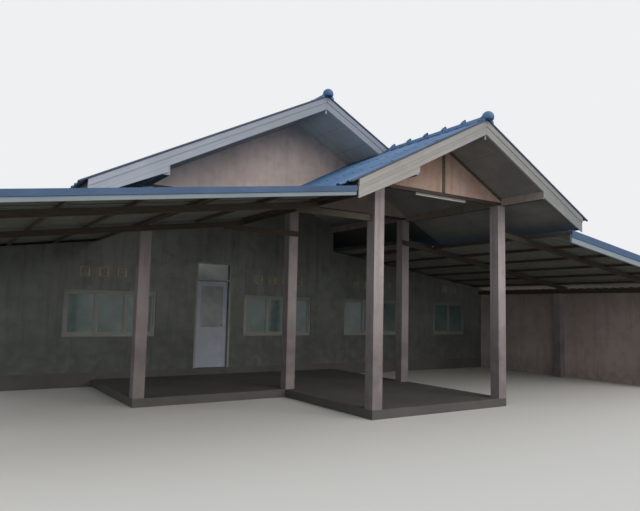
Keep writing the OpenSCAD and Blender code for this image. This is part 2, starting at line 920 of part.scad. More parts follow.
module wall_vents() {
    color(cream) {
        along_y(wall_y - wall_t / 2, wall_y + wall_t / 2) vent_places(front_windows) vent_profile();
        along_y(rear_y - wall_t / 2, rear_y + wall_t / 2) vent_places(rear_windows) vent_profile();
    }
}

// Frame of the front door with its fanlight bar
module door_frame() {
    color(cream) along_y(wall_y - wall_t / 2, wall_y + wall_t / 2) difference() {
        translate([door_l, floor_z]) square([door_w, door_open_h]);
        translate([door_l + jamb_w, floor_z - past])
            square([door_w - 2 * jamb_w, transom_z - floor_z + past]);
        translate([door_l + jamb_w, transom_z + jamb_w])
            square([door_w - 2 * jamb_w, floor_z + door_open_h - transom_z - 2 * jamb_w]);
    }
}

// One leaf of a butt hinge, on the left (-1) or right (1) of its pin: plate and knuckles
module hinge_leaf(side, knuckles) {
    third = hinge_l / 3;
    play = 0.3;
    translate([hinge_x, hinge_y, 0]) mirror([side < 0 ? 1 : 0, 0, 0]) {
        translate([hinge_r + play, -hinge_r, 0]) cube([hinge_w - hinge_r - play, hinge_t, hinge_l]);
        for (i = knuckles) translate([0, 0, i * third + play]) {
            translate([0, -hinge_r, 0]) cube([hinge_w / 2, hinge_t, third - 2 * play]);
            cylinder(r = hinge_r, h = third - 2 * play);
        }
    }
}

// Hinge leaves on the frame, with the pins
module frame_hinges() {
    color([0.6, 0.6, 0.6]) for (z = hinge_zs) translate([0, 0, z]) {
        hinge_leaf(-1, [0, 2]);
        translate([hinge_x, hinge_y, 0]) cylinder(r = pin_r, h = hinge_l);
    }
}

// Hinge leaves on the door, bored for the pins
module leaf_hinges() {
    color([0.6, 0.6, 0.6]) for (z = hinge_zs) translate([0, 0, z]) difference() {
        hinge_leaf(1, [1]);
        translate([hinge_x, hinge_y, 0]) cylinder(r = pin_r + lap, h = hinge_l);
    }
}

// Half-glazed leaf with a sunk lower panel on both faces
module door_leaf() {
    color([0.66, 0.70, 0.78]) difference() {
        box([leaf_x, leaf_y, leaf_z], [leaf_x + leaf_w, leaf_y + leaf_t, leaf_z + leaf_h]);
        box([leaf_x + stile_w, leaf_y - past, leaf_z + kick_h],
            [leaf_x + leaf_w - stile_w, leaf_y + leaf_t + past, leaf_z + leaf_h - stile_w]);
        for (y = [leaf_y - past, leaf_y + leaf_t - panel_sink])
            box([leaf_x + stile_w, y, leaf_z + 2 * stile_w],
                [leaf_x + leaf_w - stile_w, y + past + panel_sink, leaf_z + kick_h - stile_w]);
    }
}

module door_glass() {
    color([0.72, 0.74, 0.74]) box([leaf_x + stile_w, leaf_y + leaf_t / 2 - glass_t / 2, leaf_z + kick_h],
        [leaf_x + leaf_w - stile_w, leaf_y + leaf_t / 2 + glass_t / 2, leaf_z + leaf_h - stile_w]);
}

// Lever handle with a rose on each face of the leaf
module door_handle() {
    x = leaf_x + leaf_w - stile_w / 2;
    z = floor_z + handle_h;
    color([0.7, 0.7, 0.7]) for (out = [-1, 1]) {
        y = out < 0 ? leaf_y : leaf_y + leaf_t;
        translate([x, y, z]) rotate([-out * 90, 0, 0]) {
            cylinder(r = rose_r, h = rose_t);
            cylinder(r = lever_r, h = neck_l);
        }
        translate([x + lever_r, y + out * neck_l, z]) rotate([0, -90, 0])
            cylinder(r = lever_r, h = lever_l);
    }
}

// Fluorescent batten under the porch tie beam, with its tube between two end holders
module tube_light() {
    x = porch_x + light_x;
    y = porch_y + front_face + panel_t / 2;
    holder_h = 2 * tube_r + tube_gap;
    color([0.9, 0.9, 0.88]) translate([x, y, porch_plate_z - batten_h]) {
        translate([-light_l / 2, -light_w / 2, 0]) cube([light_l, light_w, batten_h]);
        for (end = [-light_l / 2, light_l / 2 - holder_l])
            translate([end, -light_w / 2, -holder_h]) cube([holder_l, light_w, holder_h]);
        translate([-light_l / 2 + holder_l, 0, -holder_h + tube_r]) rotate([0, 90, 0])
            cylinder(r = tube_r, h = light_l - 2 * holder_l);
    }
}

veranda_slab();
room_floor();
porch_columns();
house_columns();
wing_columns();
porch_plates();
main_plates();
tie_beams();
pediment_panels();
pediment_trim();
gable_panel();
front_wall_left();
front_wall_right();
front_wall_over_door();
rear_wall();
side_wall_left();
side_wall_right();
clerestory_walls();
main_roof_left();
main_roof_right();
porch_roof_left();
porch_roof_right();
main_lining();
porch_lining();
roof_timbers();
main_ridge();
porch_ridge();
main_bargeboards();
porch_bargeboards();
eaves_boards();
left_wing_roof();
right_wing_roof();
wing_frames();
wing_verges();
wing_front_rafters();
window_frames();
window_glass();
wall_vents();
door_frame();
frame_hinges();
leaf_hinges();
door_leaf();
door_glass();
door_handle();
tube_light();
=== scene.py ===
# %% [markdown]
# # Dressing a bungalow
# The construction of the house comes in as a fixed frame: walls, columns, beams, linings, boards
# and the door, all at their real size in metres. X runs along the street front, Y into the house,
# Z up. These cells add what the construction leaves plain: the rolled roof sheets, the ridge
# tiles, the casements, the light, and the finishes with their grain and grime; then the lamps and
# the floor.

# %% Load the frame
import math
import bmesh
import bpy
from mathutils import Matrix, Vector


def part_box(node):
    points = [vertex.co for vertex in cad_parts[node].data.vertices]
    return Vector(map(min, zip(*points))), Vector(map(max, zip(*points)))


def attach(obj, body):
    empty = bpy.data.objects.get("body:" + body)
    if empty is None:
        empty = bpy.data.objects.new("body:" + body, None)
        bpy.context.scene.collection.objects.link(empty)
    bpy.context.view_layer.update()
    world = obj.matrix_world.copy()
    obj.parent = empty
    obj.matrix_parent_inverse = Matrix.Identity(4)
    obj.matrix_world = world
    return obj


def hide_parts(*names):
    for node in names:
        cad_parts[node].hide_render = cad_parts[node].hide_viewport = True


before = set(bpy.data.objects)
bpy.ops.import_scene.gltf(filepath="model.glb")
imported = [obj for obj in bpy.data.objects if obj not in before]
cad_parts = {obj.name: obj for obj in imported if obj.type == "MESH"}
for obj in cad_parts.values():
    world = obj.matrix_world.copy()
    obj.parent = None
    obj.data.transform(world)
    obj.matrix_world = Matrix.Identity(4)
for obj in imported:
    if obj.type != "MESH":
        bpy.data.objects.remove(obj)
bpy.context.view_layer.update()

# %% [markdown]
# The camera stands in the street to the left of the porch, at eye height, and looks up a little.
# It is placed first, because every choice of detail afterwards depends on what it can see.

# %% Camera at the photograph's viewpoint
EYE = Vector((-6.072, -10.373, 1.72))
YAW, PITCH_UP, ROLL = math.radians(33.177), math.radians(5.274), math.radians(1.22)
FOCAL_PX, FRAME_PX, SENSOR_MM = 591.35, 640, 36.0

camera_data = bpy.data.cameras.new("street_camera")
camera_data.sensor_width = SENSOR_MM
camera_data.lens = SENSOR_MM * FOCAL_PX / FRAME_PX
camera = bpy.data.objects.new("street_camera", camera_data)
bpy.context.collection.objects.link(camera)
turn = (Matrix.Rotation(-YAW, 4, "Z") @ Matrix.Rotation(math.pi / 2 + PITCH_UP, 4, "X")
        @ Matrix.Rotation(ROLL, 4, "Z"))
camera.matrix_world = Matrix.Translation(EYE) @ turn
bpy.context.scene.camera = camera
print("lens: %.1f mm" % camera_data.lens)

# %% [markdown]
# Colours are written as sRGB hex values, as on a paint card, and one function turns them to the
# linear values that Blender's sockets hold. A second small function adds a node to a material,
# sets its values and links its inputs, so that each finish below reads as a list of steps. Its
# keys name sockets where they start with a capital letter or are i and a number, and settings
# otherwise.

# %% Colours and nodes
def colour(hex_value):
    channels = [int(hex_value[i:i + 2], 16) / 255 for i in (0, 2, 4)]
    return [c / 12.92 if c <= 0.04045 else ((c + 0.055) / 1.055) ** 2.4 for c in channels] + [1.0]


def add(material, kind, output=0, stops=(), **settings):
    made = material.node_tree.nodes.new("ShaderNode" + kind)
    for key, value in settings.items():
        if not (key[0].isupper() or key[1:].isdigit()):
            setattr(made, key, value)
            continue
        socket = made.inputs[int(key[1:]) if key[1:].isdigit() else key.replace("_", " ")]
        if isinstance(value, bpy.types.NodeSocket):
            material.node_tree.links.new(value, socket)
        else:
            socket.default_value = value
    for index, (position, level) in enumerate(stops):
        band = made.color_ramp.elements
        stop = band[index] if index < 2 else band.new(position)
        stop.position, stop.color = position, (level, level, level, 1.0)
    return made.outputs[output] if made.outputs else made


def empty_material(name):
    material = bpy.data.materials.new(name)
    material.use_nodes = True
    material.node_tree.nodes.clear()
    return material


print("mid grey is", round(colour("808080")[0], 3))

# %% [markdown]
# Every finish ends in the same three steps: the colour and the gloss go into one surface shader,
# the relief bends the light through a bump, measured in real millimetres, and the result is put
# out.

# %% The last steps of a finish
def finished(material, base, roughness, relief, relief_mm, **plain):
    normal = add(material, "Bump", Height=relief, Strength=1.0, Distance=relief_mm / 1000)
    surface = add(material, "BsdfPrincipled", Base_Color=base, Roughness=roughness, Normal=normal,
                  **plain)
    add(material, "OutputMaterial", Surface=surface)
    return material


print("a finish ends in bump, surface and output")

# %% [markdown]
# Wear seldom covers a surface evenly. A patch mask is a noise whose features have a real size in
# millimetres, cut to black and white by a ramp: below `low` nothing shows, above `high` as much of
# it as `most` says.

# %% Patches of a real size
def patches(material, place, size_mm, low, high, most=1.0, detail=4.0):
    field = add(material, "TexNoise", Vector=place, Scale=1000 / size_mm, Detail=detail,
                Roughness=0.6)
    return add(material, "ValToRGB", Fac=field, stops=[(low, 0.0), (high, most)])


print("a patch of 500 mm needs a noise scale of", 1000 / 500)

# %% [markdown]
# Much of this house runs along its roof slopes: the grain of the bargeboards, the rain streaks on
# the sheets, the joints of the lining. One set of coordinates serves them all. The place is
# centred on the ridge, folded with an absolute value so that both slopes are alike, and turned by
# the pitch: then X runs down the slope, Z runs square into it and Y along the ridge, all in
# metres. The house is first moved well past zero in Y, so that the fold leaves that axis alone.

# %% Coordinates that follow a roof slope
SLOPE, WING_SLOPE = math.radians(27.3), math.radians(8.0)
MAIN_RIDGE, PORCH_RIDGE = (0.0, 5.7778), (1.5, 4.9386)
PAST_ZERO = 40.0


def along_slope(material, ridge, pitch=SLOPE):
    place = add(material, "TexCoord", "Object")
    centred = add(material, "Mapping", Vector=place, Location=(-ridge[0], PAST_ZERO, -ridge[1]))
    folded = add(material, "VectorMath", operation="ABSOLUTE", i0=centred)
    return place, add(material, "Mapping", Vector=folded, Rotation=(0.0, pitch, 0.0))


print("slopes of %.1f and %.1f degrees" % (math.degrees(SLOPE), math.degrees(WING_SLOPE)))

# %% [markdown]
# Painted cement render covers the walls, panels and columns: sand and cement floated on by hand
# and brushed with masonry paint. The eye reads it by soft cloudy patches about a metre across,
# thin rain streaks that run straight down, splashed dirt near the ground, and a sandy grit of 2 to
# 4 mm. The streaks are the same noise as the patches, squeezed to a tenth across and left long
# upwards. Where asked, a painted shade darkens the paint in blotches from head height down towards
# the floor; and every face whose normal points down, as under the beams, gets a dark painted shade.
# The ends of the beams, whose normals lie along Y, got the white of the boards that frame them.

# %% Rendered walls, panels and columns
def rendered(name, fresh, faded, dirt_and_shade, splash_and_shade_top=0.55, streaks=0.35, low_painted_shade=0.0, ends=None):
    m = empty_material(name)
    place = add(m, "TexCoord", "Object")
    cloudy = patches(m, place, 1100, 0.38, 0.66)
    base = add(m, "Mix", 2, data_type="RGBA", i0=cloudy, i6=colour(fresh), i7=colour(faded))
    grimy = patches(m, place, 240, 0.48, 0.70, most=0.28, detail=6.0)
    base = add(m, "Mix", 2, data_type="RGBA", i0=grimy, i6=base, i7=colour(dirt_and_shade))
    upright = add(m, "Mapping", Vector=place, Scale=(9.0, 9.0, 0.55))
    streaked = patches(m, upright, 1000, 0.52, 0.72, most=streaks)
    base = add(m, "Mix", 2, data_type="RGBA", i0=streaked, i6=base, i7=colour(dirt_and_shade))
    height = add(m, "SeparateXYZ", "Z", Vector=place)
    # Dirt splashed up near the ground; on the house wall, raised to 1.3 m with a dark tone, it is
    # painted shade as well.
    low = add(m, "MapRange", Value=height, From_Min=splash_and_shade_top, From_Max=0.1, To_Min=0.0,
              To_Max=0.75)
    splash_and_shade = add(m, "Math", operation="MULTIPLY", i0=low, i1=patches(m, place, 140, 0.25, 0.75))
    base = add(m, "Mix", 2, data_type="RGBA", i0=splash_and_shade, i6=base, i7=colour(dirt_and_shade))
    # Painted shade: from head height down the paint darkens towards the floor, in blotches.
    if low_painted_shade:
        shade_from_head = add(m, "MapRange", Value=height, From_Min=2.6, From_Max=0.9, To_Min=0.0,
                    To_Max=low_painted_shade)
        shade_noise = add(m, "TexNoise", Vector=place, Scale=1000 / 260, Detail=4.0)
        shade_blotches = add(m, "MapRange", Value=shade_noise, From_Min=0.3, From_Max=0.6, To_Min=0.75,
                      To_Max=1.0)
        wear_and_shade = add(m, "Math", operation="MULTIPLY", i0=shade_from_head, i1=shade_blotches)
        base = add(m, "Mix", 2, data_type="RGBA", i0=wear_and_shade, i6=base, i7=colour(dirt_and_shade))
    # Painted shade: every face whose normal points down turns dark grey-brown, 5A5450.
    normal = add(m, "NewGeometry", "True Normal")
    upward = add(m, "SeparateXYZ", "Z", Vector=normal)
    painted_shade_under = add(m, "Math", operation="LESS_THAN", i0=upward, i1=-0.8)
    base = add(m, "Mix", 2, data_type="RGBA", i0=painted_shade_under, i6=base, i7=colour("5A5450"))
    if ends:
        inward = add(m, "SeparateXYZ", "Y", Vector=normal)
        lengthwise = add(m, "Math", operation="ABSOLUTE", i0=inward)
        beam_end = add(m, "Math", operation="GREATER_THAN", i0=lengthwise, i1=0.9)
        base = add(m, "Mix", 2, data_type="RGBA", i0=beam_end, i6=base, i7=colour(ends))
    grit = add(m, "TexNoise", Vector=place, Scale=1000 / 3.5, Detail=2.0)
    base = add(m, "Mix", 2, data_type="RGBA", blend_type="OVERLAY", i0=0.10, i6=base, i7=grit)
    wavy = add(m, "TexNoise", Vector=place, Scale=1000 / 70, Detail=3.0)
    relief = add(m, "Math", operation="MULTIPLY_ADD", i0=grit, i1=0.5, i2=wavy)
    return finished(m, base, 0.86, relief, 2.2)


# Dusty pink masonry paint, sun-bleached: soft and matt, with brown runs from the boards above it.
panel_render = rendered("cement_render_dusty_pink_paint", "DCCAC4", "CCBAB2", "8E7C70",
                        streaks=0.25)
# Salmon paint under the porch roof, which no rain fades: deeper and warmer, with smoky streaks.
pediment_render = rendered("cement_render_salmon_paint", "DEC2B6", "CCA896", "867264",
                           streaks=0.3)
# Pale pink paint on the columns and beams: nearly white in the light, with a painted shade from
# head height down.
column_render = rendered("cement_render_pale_pink_paint", "D0C4C6", "C2B6B8", "7E7675",
                         low_painted_shade=0.95)
# The same paint on the beams under the roofs, smoked brown by years of cooking on the veranda.
beam_render = rendered("cement_render_smoke_stained_paint", "BCB1AB", "AEA39C", "74695F",
                       ends="A9ADB3")
# Grey-green paint on the house wall behind the veranda: dull, and darker the nearer to the floor:
# its dark splash up to 1.3 m and its darkening from head height down are painted shade.
wall_render = rendered("cement_render_grey_green_paint", "9EA29C", "8D918B", "484C46",
                       splash_and_shade_top=1.3, low_painted_shade=0.7)
print("renders:", panel_render.name, pediment_render.name, column_render.name, beam_render.name,
      wall_render.name)

# %% [markdown]
# The bargeboards are sawn softwood under chalky white paint. The eye sees the grain, which runs
# along the slope in lines 15 to 25 mm apart, grey where the thin paint has worn off, blushes of
# the pink undercoat, and the joints where the boards lie edge to edge or meet under the ridge.
# Grain is a noise squeezed across the board and stretched to about a metre along it. Edges that
# face down are painted near white: a painted light that lifts the shade on them.

# %% Painted boards on the slopes
def painted_boards(name, ridge, fresh, chalked, bare, right_tone, undercoat, joints=(0.150, 0.213),
                   pitch=SLOPE):
    m = empty_material(name)
    place, sloped = along_slope(m, ridge, pitch)
    across = add(m, "SeparateXYZ", "X", Vector=place)
    fibres = add(m, "Mapping", Vector=sloped, Scale=(1.1, 42.0, 42.0))
    grain = add(m, "TexNoise", Vector=fibres, Scale=1.0, Detail=6.0, Roughness=0.62)
    blotchy = patches(m, place, 600, 0.36, 0.68)
    base = add(m, "Mix", 2, data_type="RGBA", i0=blotchy, i6=colour(fresh), i7=colour(chalked))
    # Greyer towards the right of each gable.
    towards_right = add(m, "MapRange", Value=across, From_Min=ridge[0] - 4.2, From_Max=ridge[0] + 2.2)
    base = add(m, "Mix", 2, data_type="RGBA", i0=towards_right, i6=base, i7=colour(right_tone))
    blushes = patches(m, place, 310, 0.52, 0.72, most=0.35)
    base = add(m, "Mix", 2, data_type="RGBA", i0=blushes, i6=base, i7=colour(undercoat))
    wear_and_shade = add(m, "ValToRGB", Fac=grain, stops=[(0.50, 0.0), (0.72, 0.45)])
    base = add(m, "Mix", 2, data_type="RGBA", i0=wear_and_shade, i6=base, i7=colour(bare))
    depth = add(m, "SeparateXYZ", "Z", Vector=sloped)
    centred = add(m, "Math", operation="SUBTRACT", i0=across, i1=ridge[0])
    from_ridge = add(m, "Math", operation="ABSOLUTE", i0=centred)
    groove = add(m, "Math", operation="LESS_THAN", i0=from_ridge, i1=0.002)
    for joint in joints:
        past = add(m, "Math", operation="SUBTRACT", i0=depth, i1=joint)
        away = add(m, "Math", operation="ABSOLUTE", i0=past)
        line = add(m, "MapRange", Value=away, From_Min=0.006, From_Max=0.0, To_Min=0.0, To_Max=1.0)
        groove = add(m, "Math", operation="MAXIMUM", i0=groove, i1=line)
    faint = add(m, "Math", operation="MULTIPLY", i0=groove, i1=0.22)
    base = add(m, "Mix", 2, data_type="RGBA", i0=faint, i6=base, i7=colour("4C4A48"))
    # Painted light: faces that point down are painted near white, lifting their shade.
    facing = add(m, "SeparateXYZ", "Z", Vector=add(m, "NewGeometry", "True Normal"))
    painted_light_below = add(m, "Math", operation="LESS_THAN", i0=facing, i1=-0.5)
    base = add(m, "Mix", 2, data_type="RGBA", i0=painted_light_below, i6=base, i7=colour("F6F5F2"))
    sunk = add(m, "Math", operation="MULTIPLY", i0=groove, i1=-1.0)
    relief = add(m, "Math", operation="MULTIPLY_ADD", i0=grain, i1=0.35, i2=sunk)
    return finished(m, base, 0.62, relief, 2.5)


# The main gable's boards face the open sky: cool, and greyer towards the right.
main_boards = painted_boards("softwood_chalky_paint_main_gable", MAIN_RIDGE, "BEC4CC", "B0B6C0",
                             "86888E", "8893A2", "B4AAA8", joints=(0.213,))
# The porch's boards are newer and warmer, with more of the undercoat showing.
porch_boards = painted_boards("softwood_chalky_paint_porch_gable", PORCH_RIDGE, "CECBC6", "BEBAB6",
                              "8E8A84", "8E9496", "C4B2AA")
# The rafters along the wings have gone blue-grey; nothing but long grain breaks their paint.
wing_boards = painted_boards("softwood_chalky_paint_wings", MAIN_RIDGE, "98A9B2", "899AA4",
                             "6C767F", "98A9B4", "9AA4A8", joints=(), pitch=WING_SLOPE)
print("boards:", main_boards.name, porch_boards.name, wing_boards.name)

# %% [markdown]
# The linings are flat fibre-cement boards, painted grey years ago. They need little: a soft
# mottle, brown water stains that follow the slope, and the joints between the boards, 1.2 m by
# 0.6 m. A painted shade darkens the left slope of each gable and the low edge along the right
# eaves.

# %% Lining boards
def lining(name, ridge, fresh, dulled, eaves_shade_from, eaves_shade):
    m = empty_material(name)
    place, sloped = along_slope(m, ridge)
    mottle = patches(m, place, 430, 0.35, 0.68)
    base = add(m, "Mix", 2, data_type="RGBA", i0=mottle, i6=colour(fresh), i7=colour(dulled))
    across = add(m, "SeparateXYZ", "X", Vector=place)
    # Painted shade: the left slope and the low right edge darken to 6A675C.
    left = add(m, "MapRange", Value=across, From_Min=ridge[0] + 0.15, From_Max=ridge[0] - 0.15,
               To_Max=0.7)
    low = add(m, "MapRange", Value=across, From_Min=ridge[0] + eaves_shade_from,
              From_Max=ridge[0] + eaves_shade_from + 0.6, To_Max=eaves_shade)
    painted_lining_shade = add(m, "Math", operation="MAXIMUM", i0=left, i1=low)
    base = add(m, "Mix", 2, data_type="RGBA", i0=painted_lining_shade, i6=base, i7=colour("6A675C"))
    flat = add(m, "Mapping", Vector=sloped, Scale=(1.0, 1.0, 0.0))
    joints = add(m, "TexBrick", "Fac", offset=0.0, Vector=flat, Scale=1.0, Mortar_Size=0.004,
                 Mortar_Smooth=0.2, Brick_Width=0.6, Row_Height=1.2)
    shade = add(m, "Math", operation="MULTIPLY", i0=joints, i1=0.6)
    base = add(m, "Mix", 2, data_type="RGBA", i0=shade, i6=base, i7=colour("4A4A48"))
    run = add(m, "Mapping", Vector=sloped, Scale=(0.8, 1.4, 1.0))
    stains = patches(m, run, 1000, 0.56, 0.74, most=0.3, detail=5.0)
    base = add(m, "Mix", 2, data_type="RGBA", i0=stains, i6=base, i7=colour("7A766E"))
    grit = add(m, "TexNoise", Vector=place, Scale=1000 / 5.5, Detail=2.0)
    relief = add(m, "Math", operation="SUBTRACT", i0=grit, i1=joints)
    return finished(m, base, 0.8, relief, 1.2)


# Under the main gable the paint has kept some of its pale grey-green.
main_lining_paint = lining("fibre_cement_board_main_lining", MAIN_RIDGE, "E0E4DA", "CED2C8",
                           eaves_shade_from=2.4, eaves_shade=1.0)
# Under the porch roof it is a flat mid grey, and its joints hardly show.
porch_lining_paint = lining("fibre_cement_board_porch_lining", PORCH_RIDGE, "B0B0AE", "9C9C9A",
                            eaves_shade_from=1.9, eaves_shade=0.4)
print("linings:", main_lining_paint.name, porch_lining_paint.name)

# %% [markdown]
# The roof sheets are fibre-cement, pressed in rolls and sprayed blue at the works. In the sun the
# paint has chalked: paler washes and darker streaks run down the slope where the water runs, and
# lichen sits in specks of about 20 mm. Their undersides were never painted, and have stayed grey.
# The ridge tiles have the same paint; the flashings are coated steel, smoother and more even.

# %% Blue sheets, their undersides and the flashings
def blue_sheet(name, ridge, pitch=SLOPE, fresh="557DA8", deep="3F6696", wash="7FA3C2"):
    m = empty_material(name)
    place, sloped = along_slope(m, ridge, pitch)
    faded = patches(m, place, 770, 0.36, 0.66, detail=6.0)
    base = add(m, "Mix", 2, data_type="RGBA", i0=faded, i6=colour(fresh), i7=colour(deep))
    washed = add(m, "Mapping", Vector=sloped, Scale=(0.7, 11.0, 3.0))
    pale_runs = patches(m, washed, 1000, 0.50, 0.72, most=0.55, detail=5.0)
    base = add(m, "Mix", 2, data_type="RGBA", i0=pale_runs, i6=base, i7=colour(wash))
    dark_runs = patches(m, washed, 430, 0.56, 0.74, most=0.45)
    base = add(m, "Mix", 2, data_type="RGBA", i0=dark_runs, i6=base, i7=colour("2E4668"))
    lichen = patches(m, place, 22, 0.66, 0.72, most=0.5)
    base = add(m, "Mix", 2, data_type="RGBA", i0=lichen, i6=base, i7=colour("6A7272"))
    grain = add(m, "TexNoise", Vector=place, Scale=1000 / 17, Detail=3.0)
    return finished(m, base, 0.55, grain, 1.0)


def raw_sheet(name):
    m = empty_material(name)
    place = add(m, "TexCoord", "Object")
    aged = patches(m, place, 500, 0.35, 0.7, detail=6.0)
    base = add(m, "Mix", 2, data_type="RGBA", i0=aged, i6=colour("A6A7A1"), i7=colour("8D8E88"))
    bloom = patches(m, place, 60, 0.55, 0.7, most=0.4)
    base = add(m, "Mix", 2, data_type="RGBA", i0=bloom, i6=base, i7=colour("B6B5AC"))
    weave = add(m, "TexNoise", Vector=place, Scale=1000 / 6, Detail=3.0)
    return finished(m, base, 0.9, weave, 0.8)


# Sprayed blue paint on pressed fibre-cement: washed out in long streaks that follow each slope.
main_blue = blue_sheet("blue_painted_fibre_cement_main", MAIN_RIDGE)
porch_blue = blue_sheet("blue_painted_fibre_cement_porch", PORCH_RIDGE)
wing_blue = blue_sheet("blue_painted_fibre_cement_wings", MAIN_RIDGE, WING_SLOPE)
# Folded steel with a baked blue coat: one even tone, a little darker than the sheets.
flashing_blue = blue_sheet("blue_coated_steel_flashing", MAIN_RIDGE, WING_SLOPE, "43658E", "38587F",
                           "58789E")
# The verge rolls: the same blue, darkened to slate grey as a painted shade along each gable's edge.
verge_painted_shade = blue_sheet("fibre_cement_verges_blue_with_painted_shade", MAIN_RIDGE, SLOPE, "46566E", "3A485E",
                        "58687E")
# Bare fibre-cement: grey and mealy, with paler bloom where damp has dried.
sheet_underside = raw_sheet("raw_fibre_cement_underside")
print("sheets:", main_blue.name, porch_blue.name, wing_blue.name, sheet_underside.name)

# %% [markdown]
# Smaller finishes. Rafters and purlins are rough sawn hardwood, dark with age; the ties, the eaves
# boards and the pediment's post wear dull brown paint. The floors are steel-trowelled cement, with
# broad sweeps of the trowel and darker damp patches.

# %% Timber and floors
def timber(name, light, dark, roughness=0.75):
    m = empty_material(name)
    place = add(m, "TexCoord", "Object")
    fibres = add(m, "Mapping", Vector=place, Scale=(6.0, 6.0, 60.0))
    grain = add(m, "TexNoise", Vector=fibres, Scale=1.0, Detail=5.0)
    dark_lines = add(m, "ValToRGB", Fac=grain, stops=[(0.35, 0.0), (0.7, 1.0)])
    base = add(m, "Mix", 2, data_type="RGBA", i0=dark_lines, i6=colour(light), i7=colour(dark))
    return finished(m, base, roughness, grain, 1.0)


def trowelled_cement(name, light, dark, damp):
    m = empty_material(name)
    place = add(m, "TexCoord", "Object")
    sweeps = patches(m, place, 900, 0.35, 0.7, detail=6.0)
    base = add(m, "Mix", 2, data_type="RGBA", i0=sweeps, i6=colour(light), i7=colour(dark))
    wet = patches(m, place, 300, 0.55, 0.75, most=0.5)
    base = add(m, "Mix", 2, data_type="RGBA", i0=wet, i6=base, i7=colour(damp))
    grit = add(m, "TexNoise", Vector=place, Scale=1000 / 4.5, Detail=2.0)
    return finished(m, base, 0.78, grit, 1.2)


# Unplaned hardwood, sawn on a frame saw: dark brown, furry, with the grain in long dark lines.
rough_timber = timber("rough_sawn_hardwood", "62574C", "4A4138")
# The same wood under one coat of brown paint: nearly black in the shade, with a slight gloss.
brown_paint = timber("hardwood_dull_brown_paint", "4A3C34", "322A24", roughness=0.6)
# Olive brown paint on the pediment's post and strips: it frames the salmon panels.
olive_paint = timber("hardwood_olive_brown_paint", "67634F", "4E4A3A", roughness=0.6)
# Cement smoothed with a steel trowel: a grey sheen in broad sweeps, darker where damp rises.
cement_floor = trowelled_cement("steel_trowelled_cement", "636160", "545350", "42403C")
print("timber and floors:", rough_timber.name, brown_paint.name, olive_paint.name,
      cement_floor.name)

# %% [markdown]
# Glass first: float glass with a film of dust, which dulls it in patches, and frosted glass in the
# door, etched so that only light comes through. Then brushed gloss paint on door and casements,
# cast cement, satin steel, and stove enamel and milky glass for the tube light. All share one
# recipe: two close tones in patches of wear, and a fine relief.

# %% Glass, gloss paint and metal
def dusty_glass(name, tint, film_tint, roughness, clear):
    m = empty_material(name)
    place = add(m, "TexCoord", "Object")
    film = patches(m, place, 500, 0.40, 0.70)
    base = add(m, "Mix", 2, data_type="RGBA", i0=film, i6=colour(tint), i7=colour(film_tint))
    dull = add(m, "MapRange", Value=film, To_Min=roughness, To_Max=roughness + 0.12)
    return finished(m, base, dull, film, 0.05, Transmission_Weight=clear, IOR=1.5)


def brushed_coat(name, light, dark, roughness, metallic=0.0, patch_mm=330, relief_mm=0.3):
    m = empty_material(name)
    place = add(m, "TexCoord", "Object")
    wear_and_shade = patches(m, place, patch_mm, 0.35, 0.7, detail=5.0)
    base = add(m, "Mix", 2, data_type="RGBA", i0=wear_and_shade, i6=colour(light), i7=colour(dark))
    brush = add(m, "TexNoise", Vector=place, Scale=1000 / 11, Detail=2.0)
    return finished(m, base, roughness, brush, relief_mm, Metallic=metallic)


# Float glass behind years of dust: greenish and half blind, it shows little of the dark rooms.
window_glass = dusty_glass("float_glass_dusty", "78928F", "98ADAA", roughness=0.06, clear=0.40)
# Acid-etched glass in the door and fanlight: it glows a little and shows no shapes.
frosted_glass = dusty_glass("etched_glass_door", "C4C8CA", "9CA6A2", roughness=0.5, clear=0.35)
# Oil gloss brushed on the door, pale blue: the brush leaves fine ripples in the highlights.
door_paint = brushed_coat("gloss_paint_pale_blue_door", "B0B8C6", "9EA6B4", 0.42)
# Grey-green gloss on casements and frames: it stands out little from the wall.
frame_paint = brushed_coat("gloss_paint_grey_green_casements", "9A9E96", "888C84", 0.45)
# Sand-and-cement mortar, struck by trowel: rough, dark grey, dead matt.
mortar = brushed_coat("cement_mortar", "6A6966", "585754", 0.92, patch_mm=60, relief_mm=0.8)
# Cement cast in moulds, unpainted: pale yellowish blocks, with a fine open texture.
vent_cement = brushed_coat("cast_cement_vent_block", "D2CEB8", "BEBAA4", 0.85, patch_mm=110,
                           relief_mm=0.8)
# Zinc-dipped nails: soft grey glints in rows over the roof.
galvanised_steel = brushed_coat("hot_dip_galvanised_steel", "9A9EA2", "7E8286", 0.5, metallic=1.0,
                                patch_mm=60)
# Satin stainless hinges and handle: a clean, blurred gleam.
satin_steel = brushed_coat("satin_stainless_steel", "B4B4B2", "9C9C9A", 0.35, metallic=1.0,
                           patch_mm=50)
# Stove enamel on the light's tray: white, hard and smooth.
white_enamel = brushed_coat("white_stove_enamel", "C2C2BE", "AEAEA8", 0.3)
# The tube itself, unlit: milky, with the sharpest gloss on the house.
milky_tube = brushed_coat("milky_glass_tube", "E2E2DE", "D2D4D2", 0.2)
print("glass, paint and metal ready")

# %% [markdown]
# New pieces are modelled by hand in edit mode. Small helpers do what the mouse would do: one
# starts a primitive with nothing else selected, two pick faces or points by their place, and one
# cuts the whole mesh along a plane and drops what lies behind or before it.

# %% Hands for modelling
def begin(primitive, **where):
    bpy.ops.object.select_all(action="DESELECT")
    primitive(**where)
    bpy.ops.object.transform_apply(location=True, rotation=True, scale=True)
    return bpy.context.object


def pick_faces(wanted):
    bpy.ops.mesh.select_mode(type="FACE")
    bpy.ops.mesh.select_all(action="DESELECT")
    shape = bmesh.from_edit_mesh(bpy.context.object.data)
    for face in shape.faces:
        face.select_set(bool(wanted(face.calc_center_median(), face.normal)))
    bmesh.update_edit_mesh(bpy.context.object.data)


